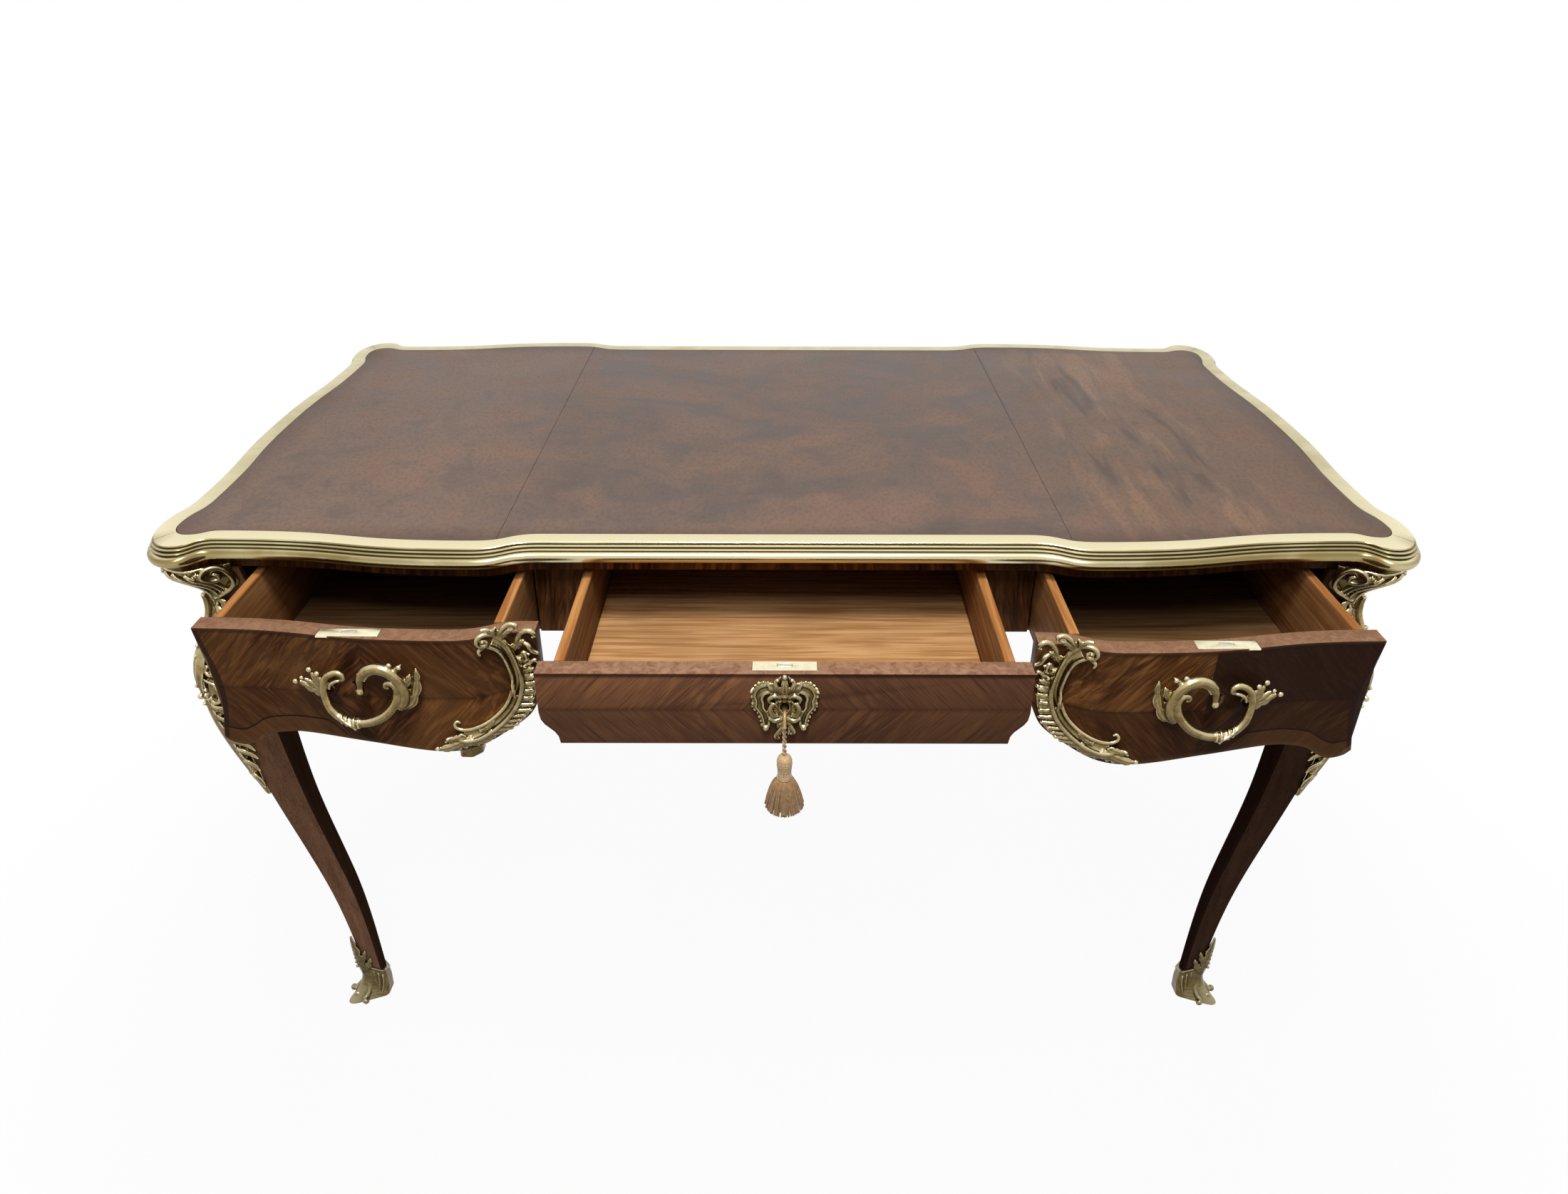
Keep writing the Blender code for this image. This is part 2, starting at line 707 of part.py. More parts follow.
def mount_levels():
    """Heights of a corner mount from its head down, with its arm's length and share of its length."""
    stations = (
        (0.0, MOUNT_HEAD_ARM),
        (0.05, MOUNT_HEAD_ARM),
        (0.21, MOUNT_NECK_ARM),
        (0.45, MOUNT_KNEE_ARM),
        (0.75, MOUNT_NECK_ARM),
        (1.0, MOUNT_TIP_ARM),
    )
    top = UNDERSIDE - GAP
    return [(top - MOUNT_LENGTH * share, arm, share) for share, arm in through(stations, 3)]


def corner_mount_rings(side, end):
    """Rings of a gilt mount round a leg's outer corner, from its corbelled head to below the knee."""
    rings = []
    for height, arm, share in mount_levels():
        outer, inner = leg_lines(height)
        round_off = (outer - inner) * LEG_CORNER_ROUND
        swell = 0.45 + 0.55 * sin(pi * min(0.9, 0.25 + 0.7 * share))
        fallen = min(1.0, MOUNT_LENGTH * share / MOUNT_FLARE_DROP)
        flare = MOUNT_FLARE * (1.0 - fallen) ** 2
        centre = outer - round_off
        reach = max(0.0, arm - round_off)
        skins = []
        for lift, corbel in ((GAP, 0.0), (MOUNT_THICKNESS * swell, flare)):
            radius = round_off + lift + corbel
            turn = [radians(angle) for angle in LEG_CORNER_ANGLES]
            arc = [(centre + radius * cos(angle), centre + radius * sin(angle)) for angle in turn]
            skin = [(outer + lift, centre - reach)] + arc + [(centre - reach, outer + lift)]
            skins.append([Vector((x, y - LEG_DIAGONAL)) for x, y in skin])
        ring = skins[1] + skins[0][::-1]
        rings.append([to_corner(p, height, side, end) for p in ring])
    return rings


# Carcass


def side_bay_edge():
    """Lower edge of a side bay from its outer toe to its inner shoulder, as X and height."""
    low = SIDE_FRONT_LOW
    arch = (ARCH_X, low + ARCH_RISE)
    dip = (DIP_X, low + DIP_RISE)
    toe = (SIDE_FRONT_OUTER - TOE_WIDTH, low)
    shoulder = (SHOULDER_X, low + SHOULDER_RISE)
    up, left = (0.0, 1.0), (-1.0, 0.0)
    edge = [Vector((SIDE_FRONT_OUTER, low))]
    edge += bend(toe, up, arch, left, 6)
    edge += bend(arch, left, dip, left, 5)
    edge += bend(dip, left, shoulder, (-0.75, 0.75), 5)
    return edge + [Vector(shoulder)]


def plan_band(name, low_x, high_x, low_z, high_z, thickness, back):
    """An upright serpentine band that follows the top's front or back line."""
    places = plan_places(low_x, high_x)
    turn = -1.0 if back else 1.0
    outer = [Vector((x, face_y(x) * turn)) for x in places]
    inner = [Vector((x, (face_y(x) + thickness) * turn)) for x in places]
    return slab(name, outer + inner[::-1], low_z, high_z)


def build_back_frieze(root, finish):
    """Back frieze in three bays, each shaped as a drawer front."""
    half = SIDE_FRONT_OUTER
    edge = side_bay_edge()
    shoulder = edge[-1]
    centre = Vector((CENTRE_FRONT_HALF - NOTCH_WIDTH, CENTRE_FRONT_LOW))
    half_edge = [Vector((half, UNDERSIDE - GAP))] + edge
    half_edge += bend(shoulder, (-0.5, 1.0), centre, (-1.0, 0.0), 4) + [centre]
    outline = half_edge + mirrored(reversed(half_edge), -1.0)
    reach = TOP_HALF_DEPTH
    panel = slab("frieze_back", outline, 0.0, reach, "XZ")
    band = plan_band("back_band", -half - GAP, half + GAP, 0.0, TABLE_HEIGHT, FRONT_THICKNESS, True)
    root.take(panel, finish["veneer"])
    combine(panel, root.take(band, finish["veneer"]), "INTERSECT")


def build_side_friezes(root, finish):
    """Bowed friezes between the front and back legs."""
    half = LEG_FACE_Y - GAP
    top = UNDERSIDE - GAP
    low = top - SIDE_FRIEZE_HEIGHT
    end = (-half, low)
    arch = (-SIDE_ARCH_Y, low + SIDE_ARCH_RISE)
    pendant = (0.0, low + SIDE_PENDANT_RISE)
    right = (1.0, 0.0)
    half_edge = bend(end, right, arch, right, 5) + bend(arch, right, pendant, right, 5)
    lower = half_edge + [Vector(pendant)] + mirrored(reversed(half_edge), -1.0)
    outline = lower + [Vector((half, top)), Vector((-half, top))]
    places = spread(-LEG_FACE_Y, LEG_FACE_Y, 13)
    end_x = TOP_HALF_WIDTH - SIDE_FRIEZE_SETBACK
    for name, side in (("frieze_left", -1.0), ("frieze_right", 1.0)):
        bow = [end_x + SIDE_FRIEZE_BOW * cos(pi * y / (2.0 * half)) for y in places]
        outer = [Vector((x * side, y)) for x, y in zip(bow, places)]
        inner = [Vector(((x - FRIEZE_THICKNESS) * side, y)) for x, y in zip(bow, places)]
        panel = slab(name, outline, -TOP_HALF_WIDTH, TOP_HALF_WIDTH, "YZ")
        root.take(panel, finish["veneer"])
        band = slab("side_band", outer + inner[::-1], 0.0, TABLE_HEIGHT)
        combine(panel, root.take(band, finish["veneer"]), "INTERSECT")


def back_face_y(low_x, high_x):
    """Y just in front of the back frieze's inner face, over a span of X."""
    return min(-face_y(x) for x in (low_x, high_x)) - FRONT_THICKNESS - GAP


def build_carcass(root, finish):
    """Dividers between the drawers and the runners that carry them."""
    web_in = STILE_X - WEB_THICKNESS / 2.0
    web_out = STILE_X + WEB_THICKNESS / 2.0
    stile_in = STILE_X - STILE_HALF_WIDTH
    stile_out = STILE_X + STILE_HALF_WIDTH
    front = STILE_FRONT_Y
    behind = front + STILE_DEPTH
    back = back_face_y(web_in, web_out)
    low = SIDE_BOX_LOW
    for label, side in (("left", -1.0), ("right", 1.0)):
        plan = [(stile_in, front), (stile_out, front), (stile_out, behind), (web_out, behind)]
        plan += [(web_out, back), (web_in, back), (web_in, behind), (stile_in, behind)]
        divider = slab("divider_" + label, mirrored(plan, side), low, UNDERSIDE - GAP)
        root.take(divider, finish["veneer"])

        inner_lap = SIDE_BOX_INNER + RUNNER_LAP
        outer_lap = SIDE_BOX_OUTER - RUNNER_LAP
        centre_lap = CENTRE_BOX_HALF - RUNNER_LAP
        side_top = SIDE_BOX_LOW - GAP
        centre_top = CENTRE_BOX_LOW - GAP
        runners = (
            ("runner_inner_", web_in, inner_lap, side_top, behind),
            ("runner_outer_", outer_lap, LEG_FACE_X - GAP, side_top, behind),
            ("runner_centre_", centre_lap, web_in - GAP, centre_top, behind),
        )
        for stem, near, far, top, start in runners:
            ends = sorted((near * side, far * side))
            low_corner = (ends[0], start + GAP, top - RUNNER_THICKNESS)
            high_corner = (ends[1], back_face_y(near, far), top)
            root.take(board(stem + label, low_corner, high_corner), finish["oak"])


# Drawers


def keyhole_outline(x, z):
    """A round keyhole with a slot below it."""
    turn = [radians(angle) for angle in range(-60, 241, 30)]
    arc = [(x + KEYHOLE_RADIUS * cos(angle), z + KEYHOLE_RADIUS * sin(angle)) for angle in turn]
    half = KEYHOLE_SLOT / 2.0
    return arc + [(x - half, z - KEYHOLE_DROP), (x + half, z - KEYHOLE_DROP)]


def lock_back_y(x):
    """Y of the lock's back face, flush with the drawer front's back, when closed."""
    half = LOCK_WIDTH / 2.0
    if abs(x) < half:
        return CENTRE_FACE_Y + FRONT_THICKNESS
    return min(face_y(x - half), face_y(x + half)) + FRONT_THICKNESS - GAP


def bolt_y(x):
    """Y of a bolt's middle when its drawer is closed."""
    return lock_back_y(x) - LOCK_BODY_THICKNESS / 2.0


def bolt_places():
    """Plan places of the three bolts with the drawers closed."""
    return [(x, bolt_y(x)) for x in (-SIDE_LOCK_X, 0.0, SIDE_LOCK_X)]


def side_front(name, side, carrier, finish):
    """A serpentine drawer front: its elevation cut from a band that follows the top."""
    top = DRAWER_TOP
    low = SIDE_FRONT_LOW
    outer = SIDE_FRONT_OUTER
    hollow = [
        Vector((outer - SIDE_FRONT_HOLLOW * sin(pi * share) ** 1.5, top - SIDE_FRONT_HEIGHT * share))
        for share in spread(0.0, 1.0, 9)
    ]
    edge = side_bay_edge()[1:]
    shoulder = edge[-1]
    inner = SIDE_FRONT_INNER
    side_start = Vector((inner, low + 2.0 * SHOULDER_RISE))
    rise = bend(shoulder, (-0.5, 0.6), side_start, (0.0, 1.0), 4)
    outline = hollow + edge + rise[1:] + [side_start, Vector((inner, top))]
    front = slab(name, mirrored(outline, side), -TOP_HALF_DEPTH, 0.0, "XZ")
    ends = sorted((inner * side, outer * side))
    band = plan_band("front_band", ends[0] - GAP, ends[1] + GAP, low - GAP, top + GAP, FRONT_THICKNESS, False)
    carrier.take(front, finish["veneer"])
    combine(front, carrier.take(band, finish["veneer"]), "INTERSECT")
    return front


def centre_front(name, carrier, finish):
    """The flat centre front with cyma notches in its lower corners."""
    half = CENTRE_FRONT_HALF
    low = CENTRE_FRONT_LOW
    notch_top = (half, low + NOTCH_HEIGHT)
    notch_low = (half - NOTCH_WIDTH, low)
    down = (0.0, -1.0)
    half_edge = [Vector((half, DRAWER_TOP))] + bend(notch_top, down, notch_low, down, 6) + [Vector(notch_low)]
    outline = half_edge + mirrored(reversed(half_edge), -1.0)
    front = slab(name, outline, CENTRE_FACE_Y, CENTRE_FACE_Y + FRONT_THICKNESS, "XZ")
    return carrier.take(front, finish["veneer"])


def fit_lock(label, x, key_drop, front, carrier, finish):
    """Let a lock into the back of a front, with its bolt and keyhole."""
    back = lock_back_y(x)
    half = LOCK_WIDTH / 2.0
    top = DRAWER_TOP
    key_z = top - key_drop
    body_low = key_z - LOCK_TAIL
    body_front = back - LOCK_BODY_THICKNESS
    lip_front = back - SELVEDGE_DEPTH
    lip_low = top - SELVEDGE_THICKNESS

    def ell(grow, out):
        """The lock's section, grown to cut its seat."""
        return [
            (back + out, body_low - grow),
            (back + out, top + out),
            (lip_front - grow, top + out),
            (lip_front - grow, lip_low - grow),
            (body_front - grow, lip_low - grow),
            (body_front - grow, body_low - grow),
        ]

    seat = slab("lock_seat", ell(GAP, FRONT_THICKNESS), x - half - GAP, x + half + GAP, "YZ")
    combine(front, carrier.take(seat, finish["steel"]), "DIFFERENCE")
    hole = slab("keyhole", keyhole_outline(x, key_z), back - 3.0 * FRONT_THICKNESS, back, "XZ")
    combine(front, carrier.take(hole, finish["steel"]), "DIFFERENCE")

    lock = carrier.take(slab("lock_" + label, ell(0.0, 0.0), x - half, x + half, "YZ"), finish["steel"])
    slot_half = BOLT_WIDTH / 2.0 + RUNNING_GAP
    slot_depth = BOLT_THICKNESS / 2.0 + RUNNING_GAP
    middle = bolt_y(x)
    slot_low = (x - slot_half, middle - slot_depth, top - BOLT_LENGTH - 2.0 * RUNNING_GAP)
    slot_high = (x + slot_half, middle + slot_depth, top + BOLT_THROW)
    combine(lock, carrier.take(board("bolt_slot", slot_low, slot_high), finish["steel"]), "DIFFERENCE")
    well_start = (x, body_front - FRONT_THICKNESS, key_z)
    well_end = (x, body_front + KEY_WELL_DEPTH, key_z)
    well = rod("key_well", well_start, well_end, KEY_WELL_RADIUS, 20)
    combine(lock, carrier.take(well, finish["steel"]), "DIFFERENCE")

    bolt_carrier = Carrier("bolt_" + label + "_slide", (x, middle, top), carrier)
    bolt_low = (x - BOLT_WIDTH / 2.0, middle - BOLT_THICKNESS / 2.0, top - BOLT_LENGTH - RUNNING_GAP)
    bolt_high = (x + BOLT_WIDTH / 2.0, middle + BOLT_THICKNESS / 2.0, top - RUNNING_GAP)
    bolt_carrier.take(board("bolt_" + label, bolt_low, bolt_high), finish["steel"])


def drawer_box(name, low_x, high_x, height, front_back, carrier, finish):
    """Sides, back and floor of a drawer behind its front."""
    top = DRAWER_TOP
    low = top - height
    end = STILE_FRONT_Y + BOX_LENGTH
    sides = (("_side_left", low_x, low_x + BOX_BOARD), ("_side_right", high_x - BOX_BOARD, high_x))
    for stem, near, far in sides:
        start = max(front_back(near), front_back(far)) + GAP
        carrier.take(board(name + stem, (near, start, low), (far, end, top)), finish["oak"])
    inside_low = low_x + BOX_BOARD + GAP
    inside_high = high_x - BOX_BOARD - GAP
    back_start = end - BOX_BOARD
    floor_low = low
    floor_high = low + BOX_FLOOR
    back_low = (inside_low, back_start, floor_high + GAP)
    back_high = (inside_high, end, top - BOX_BACK_DROP)
    carrier.take(board(name + "_back", back_low, back_high), finish["oak"])
    plan = [Vector((x, front_back(x) + GAP)) for x in plan_places(inside_low, inside_high)]
    plan += [Vector((inside_high, end)), Vector((inside_low, end))]
    carrier.take(slab(name + "_bottom", plan, floor_low, floor_high), finish["oak"])


def build_side_drawer(label, side, opening, root, finish):
    """A side drawer with its lock, handle and scroll mount."""
    name = "drawer_" + label
    middle = (SIDE_BOX_OUTER + SIDE_BOX_INNER) / 2.0 * side
    carrier = Carrier(name + "_slide", (middle, face_y(middle), DRAWER_TOP), root, (0.0, -opening, 0.0))
    front = side_front(name + "_front", side, carrier, finish)
    fit_lock(label, SIDE_LOCK_X * side, SIDE_KEY_DROP, front, carrier, finish)
    ends = sorted((SIDE_BOX_INNER * side, SIDE_BOX_OUTER * side))
    drawer_box(
        name, ends[0], ends[1], SIDE_BOX_HEIGHT, lambda x: face_y(x) + FRONT_THICKNESS, carrier, finish
    )
    build_handle("handle_" + label, side, carrier, finish)
    scroll = loft("scroll_mount_" + label, scroll_rings(side))
    carrier.take(smooth_faces(scroll, 35.0), finish["gilt"])


def build_centre_drawer(root, finish):
    """The centre drawer with its lock, escutcheon, key, cord and tassel."""
    name = "drawer_centre"
    base = (0.0, CENTRE_FACE_Y, DRAWER_TOP)
    carrier = Carrier(name + "_slide", base, root, (0.0, -CENTRE_OPENING, 0.0))
    front = centre_front(name + "_front", carrier, finish)
    fit_lock("centre", 0.0, CENTRE_KEY_DROP, front, carrier, finish)
    half = CENTRE_BOX_HALF
    behind = CENTRE_FACE_Y + FRONT_THICKNESS
    drawer_box(name, -half, half, CENTRE_BOX_HEIGHT, lambda x: behind, carrier, finish)
    build_escutcheon(carrier, finish)
    build_key(carrier, finish)


# Gilt mounts on the fronts


def handle_lines():
    """Middle lines of a handle's bow, top scroll and two leaves, from the keyhole and away from the middle.

    Each point is a share of the reach, a share of the drop or rise, and a share of the stand-off.
    """
    bow = ((0.09, 0.45, 0.7), (0.22, 0.61, 0.7), (0.43, 0.39, 0.75), (0.53, -0.12, 0.8))
    bow += ((0.49, -0.52, 0.9), (0.33, -0.84, 1.0), (0.03, -1.0, 1.0), (-0.25, -0.95, 1.0))
    bow += ((-0.52, -0.67, 1.0), (-0.69, -0.28, 0.9), (-0.71, 0.06, 0.8), (-0.56, 0.29, 0.75))
    top_scroll = ((-0.70, -0.28, 0.85), (-0.79, 0.25, 0.7), (-0.72, 0.75, 0.7), (-0.58, 0.97, 0.75))
    top_scroll += ((-0.41, 1.0, 0.8), (-0.27, 0.71, 0.85), (-0.16, 0.29, 0.85), (-0.165, -0.05, 0.85))
    outer_leaf = ((0.50, -0.07, 0.75), (0.72, 0.14, 0.6), (0.87, 0.18, 0.5), (1.0, 0.10, 0.4))
    inner_leaf = ((-0.66, -0.45, 0.85), (-0.83, -0.40, 0.6), (-0.94, 0.07, 0.5), (-1.0, 0.95, 0.4))
    return bow, top_scroll, outer_leaf, inner_leaf


def handle_path(keys, side):
    """A handle's middle line laid over the curved front of one of the side drawers."""
    points = []
    for across, up, share in through(keys, 2):
        reach = HANDLE_REACH_OUTER if across > 0.0 else HANDLE_REACH_INNER
        x = (SIDE_LOCK_X + across * reach) * side
        z = SIDE_KEY_Z + up * (HANDLE_RISE if up > 0.0 else HANDLE_DROP)
        points.append(Vector((x, face_y(x) - HANDLE_STANDOFF * share, z)))
    return points


def build_handle(name, side, carrier, finish):
    """A cast handle: a bow to grip, a scroll over the keyhole and a leaf at either end, on two feet."""
    bow, *branches = [handle_path(keys, side) for keys in handle_lines()]
    last = len(bow) - 1
    radii = [HANDLE_RADIUS * (0.6 + 0.4 * sin(pi * index / last)) for index in range(last + 1)]
    handle = carrier.take(tube(name, bow, radii), finish["gilt"])
    for branch in branches:
        tips = [HANDLE_RADIUS * (0.85 - 0.45 * index / (len(branch) - 1)) for index in range(len(branch))]
        combine(handle, carrier.take(tube("handle_branch", branch, tips), finish["gilt"]), "UNION")
    ball = [(HANDLE_DROP_RADIUS * sin(angle), HANDLE_DROP_RADIUS * cos(angle)) for angle in HALF_TURN]
    drop = turned("handle_drop", ball, 8)
    drop.location = branches[0][-1]
    combine(handle, carrier.take(drop, finish["gilt"]), "UNION")
    for tip in (bow[4], branches[0][4]):
        seat = min(face_y(tip.x - HANDLE_FOOT_RADIUS), face_y(tip.x + HANDLE_FOOT_RADIUS)) - GAP
        post = rod("handle_foot", tip, (tip.x, seat, tip.z), HANDLE_FOOT_RADIUS, 10)
        combine(handle, carrier.take(post, finish["gilt"]), "UNION")


def scroll_line(side):
    """Middle line of the C-scroll round the inner lower corner of a side front."""
    clear = SCROLL_OUTER_HALF
    start_x, start_z = SIDE_FRONT_INNER + clear, SIDE_FRONT_LOW + clear
    width, height = DIP_X - start_x, SIDE_FRONT_HEIGHT - 2.0 * clear
    keys = (
        (1.0, 0.09),
        (0.79, 0.12),
        (0.565, 0.14),
        (0.355, 0.20),
        (0.14, 0.335),
        (0.025, 0.525),
        (0.0, 0.70),
        (0.035, 0.86),
        (0.14, 0.985),
        (0.29, 1.03),
        (0.41, 1.0),
    )
    line = through(keys, SCROLL_STEPS)
    return [Vector(((start_x + width * across) * side, start_z + height * up)) for across, up in line]


def scroll_rings(side):
    """Rings of the C-scroll: a channel between two raised rims, laid on the curved front."""
    line = scroll_line(side)
    rings = []
    for index, point in enumerate(line):
        before, after = line[max(0, index - 1)], line[min(len(line) - 1, index + 1)]
        along = (after - before).normalized()
        across = Vector((along.y, -along.x)) * side
        taper = 0.45 + 0.55 * max(0.0, sin(pi * index / (len(line) - 1))) ** 0.5
        inner, outer, relief = SCROLL_INNER_HALF * taper, SCROLL_OUTER_HALF * taper, SCROLL_RELIEF
        section = (
            (-inner, 2.0 * GAP),
            (-inner, 0.6 * relief),
            (-0.75 * inner, relief),
            (-0.4 * inner, 0.55 * relief),
            (0.3 * outer, 0.55 * relief),
            (0.65 * outer, relief),
            (outer, 0.5 * relief),
            (outer, 2.0 * GAP),
        )
        ring = []
        for offset, lift in section:
            place = point - across * offset
            ring.append(Vector((place.x, face_y(place.x) - lift, place.y)))
        rings.append(ring)
    return rings


def build_escutcheon(carrier, finish):
    """A cartouche plate with its keyhole, on the centre front."""
    half, tall = ESCUTCHEON_HALF_WIDTH, ESCUTCHEON_HEIGHT
    top = DRAWER_TOP - ESCUTCHEON_HEAD_GAP
    keys = (
        (0.0, 0.0),
        (0.30 * half, 0.04 * tall),
        (0.42 * half, 0.16 * tall),
        (0.85 * half, 0.22 * tall),
        (half, 0.38 * tall),
        (0.62 * half, 0.52 * tall),
        (0.78 * half, 0.68 * tall),
        (0.46 * half, 0.82 * tall),
        (0.22 * half, 0.94 * tall),
        (0.0, tall),
    )
    right = [Vector((x, top - z)) for x, z in through(keys, 2)]
    outline = right + mirrored(reversed(right[1:-1]), -1.0)
    face = CENTRE_FACE_Y - GAP
    plate = slab("escutcheon", outline, face - ESCUTCHEON_THICKNESS, face, "XZ")
    carrier.take(plate, finish["gilt"])
    hole = slab("plate_keyhole", keyhole_outline(0.0, CENTRE_KEY_Z), face - 2.0 * FRONT_THICKNESS, 0.0, "XZ")
    combine(plate, carrier.take(hole, finish["gilt"]), "DIFFERENCE")


# Key, cord and tassel


def build_key(drawer, finish):
    """Key in the centre lock, with the tassel's cord hung from its bow."""
    axis = Carrier("key_axis", (0.0, BOW_Y, CENTRE_KEY_Z), drawer)
    body_front = lock_back_y(0.0) - LOCK_BODY_THICKNESS
    tip = (0.0, body_front + KEY_WELL_DEPTH - 2.0 * RUNNING_GAP, CENTRE_KEY_Z)
    start = (0.0, BOW_Y + KEY_BOW_RADIUS, CENTRE_KEY_Z)
    key = axis.take(rod("key", start, tip, KEY_SHANK_RADIUS), finish["steel"])

    ring = [
        (0.0, BOW_Y + KEY_BOW_RADIUS * cos(angle), CENTRE_KEY_Z + KEY_BOW_RADIUS * sin(angle))
        for angle in spread(0.0, 2.0 * pi * 15.0 / 16.0, 16)
    ]
    bow = bpy.data.curves.new("key_bow", "CURVE")
    bow.dimensions = "3D"
    bow.bevel_depth = KEY_BOW_WIRE
    bow.bevel_resolution = 2
    spline = bow.splines.new("POLY")
    spline.points.add(len(ring) - 1)
    for knot, point in zip(spline.points, ring):
        knot.co = (*point, 1.0)
    spline.use_cyclic_u = True
    bow_piece = curve_to_mesh(new_object("key_bow_path", bow), "key_bow")
    combine(key, axis.take(bow_piece, finish["steel"]), "UNION")

    bit_start = body_front + KEY_WELL_DEPTH - 2.0 * RUNNING_GAP - KEY_BIT_WIDTH
    bit_low = (-KEY_BIT_THICKNESS / 2.0, bit_start, CENTRE_KEY_Z - KEY_BIT_REACH)
    bit_high = (KEY_BIT_THICKNESS / 2.0, bit_start + KEY_BIT_WIDTH * 0.9, CENTRE_KEY_Z)
    combine(key, axis.take(board("key_bit", bit_low, bit_high), finish["steel"]), "UNION")

    hang = Carrier("cord_swing", (0.0, BOW_Y, CENTRE_KEY_Z), drawer)
    cord_points = [(0.0, BOW_Y, CORD_TOP_Z - CORD_LENGTH * share) for share in spread(0.0, 1.0, 6)]
    cord = tube("tassel_cord", cord_points, [CORD_RADIUS] * len(cord_points))
    hang.take(cord, finish["silk"])

    swing = Carrier("tassel_swing", (0.0, BOW_Y, TASSEL_TOP_Z), hang)
    head, neck = TASSEL_HEAD_RADIUS, TASSEL_NECK_RADIUS
    tall, skirt, flare = TASSEL_HEAD_HEIGHT, TASSEL_SKIRT_HEIGHT, TASSEL_SKIRT_RADIUS
    profile = (
        (0.0, 0.0),
        (0.6 * head, -0.08 * tall),
        (head, -0.35 * tall),
        (0.9 * head, -0.65 * tall),
        (neck, -0.88 * tall),
        (neck, -tall),
        (0.55 * flare, -tall - 0.12 * skirt),
        (0.82 * flare, -tall - 0.55 * skirt),
        (flare, -tall - 0.96 * skirt),
        (0.96 * flare, -tall - skirt),
        (0.0, -tall - 0.97 * skirt),
    )
    tassel = turned("tassel", profile, 18)
    tassel.location = (0.0, BOW_Y, TASSEL_TOP_Z)
    swing.take(tassel, finish["silk"])


def main():
    """Build the writing table."""
    clear_scene()
    new_collection(TABLE_COLLECTION)
    new_collection(CUTTER_COLLECTION)
    finish = {
        "veneer": new_material("kingwood_veneer", (0.19, 0.075, 0.038), 0.32, 0.0),
        "oak": new_material("drawer_oak", (0.52, 0.29, 0.12), 0.55, 0.0),
        "leather": new_material("brown_leather", (0.16, 0.11, 0.085), 0.55, 0.0),
        "brass": new_material("edge_brass", (0.74, 0.62, 0.36), 0.30, 1.0),
        "gilt": new_material("gilt_bronze", (0.86, 0.70, 0.38), 0.28, 1.0),
        "steel": new_material("lock_brass", (0.72, 0.58, 0.32), 0.35, 1.0),
        "silk": new_material("gold_silk", (0.72, 0.60, 0.38), 0.70, 0.0),
    }
    root = Carrier("table_centre", (0.0, 0.0, 0.0), None, (0.0, CENTRING, 0.0))
    build_top(root, finish)
    corners = (
        ("front_left", -1.0, -1.0),
        ("front_right", 1.0, -1.0),
        ("back_left", -1.0, 1.0),
        ("back_right", 1.0, 1.0),
    )
    for name, side, end in corners:
        build_leg(name, side, end, root, finish)
    build_side_friezes(root, finish)
    build_back_frieze(root, finish)
    build_carcass(root, finish)
    build_side_drawer("left", -1.0, LEFT_OPENING, root, finish)
    build_centre_drawer(root, finish)
    build_side_drawer("right", 1.0, RIGHT_OPENING, root, finish)


main()
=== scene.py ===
"""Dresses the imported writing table: brass edge, leather top, kingwood veneer, gilt mounts, locks and tassel.

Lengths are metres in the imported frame.  The tables that draw the gilt ornament are in millimetres.
"""

import logging
from contextlib import contextmanager
from dataclasses import dataclass, field
from enum import Enum
from math import cos, pi, radians, sin
from typing import Any, Callable, Iterator, Sequence

import bpy
import numpy as np
from mathutils import Euler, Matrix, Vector


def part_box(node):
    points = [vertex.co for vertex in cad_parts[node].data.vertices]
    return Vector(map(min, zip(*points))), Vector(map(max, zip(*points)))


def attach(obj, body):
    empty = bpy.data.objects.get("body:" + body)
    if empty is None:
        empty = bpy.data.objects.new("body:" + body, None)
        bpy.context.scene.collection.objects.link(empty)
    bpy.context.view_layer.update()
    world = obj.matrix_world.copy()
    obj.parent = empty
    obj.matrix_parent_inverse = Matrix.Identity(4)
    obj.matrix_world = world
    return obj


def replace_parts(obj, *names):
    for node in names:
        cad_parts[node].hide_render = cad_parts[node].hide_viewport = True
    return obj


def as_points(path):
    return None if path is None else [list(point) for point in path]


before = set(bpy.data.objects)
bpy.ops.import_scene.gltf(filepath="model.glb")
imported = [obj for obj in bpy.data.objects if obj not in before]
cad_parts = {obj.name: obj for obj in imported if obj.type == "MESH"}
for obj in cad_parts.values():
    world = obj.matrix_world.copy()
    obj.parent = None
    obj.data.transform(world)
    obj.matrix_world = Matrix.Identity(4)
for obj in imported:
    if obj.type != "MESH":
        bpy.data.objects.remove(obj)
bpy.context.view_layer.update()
LOG = logging.getLogger("writing_table")
MM = 0.001

Piece = bpy.types.Object
Placing = Callable[[float, float, float], Vector]
Table = Sequence[Sequence[float]]


class Axis(Enum):
    """Direction that a grain runs in."""

    X = 0
    Y = 1
    Z = 2


# Work at the bench


def only(piece: Piece) -> Piece:
    """Make a piece the only one selected, and the active one.

    Args:
        piece: the piece to work on.

    Returns:
        The same piece.
    """
    bpy.ops.object.select_all(action="DESELECT")
    piece.select_set(True)
    bpy.context.view_layer.objects.active = piece
    return piece


@contextmanager
def editing(piece: Piece) -> Iterator[None]:
    """Hold a piece in edit mode with all of it selected.

    Args:
        piece: the piece to edit.
    """
    only(piece)
    bpy.ops.object.mode_set(mode="EDIT")
    bpy.ops.mesh.select_all(action="SELECT")
    yield
    bpy.ops.object.mode_set(mode="OBJECT")


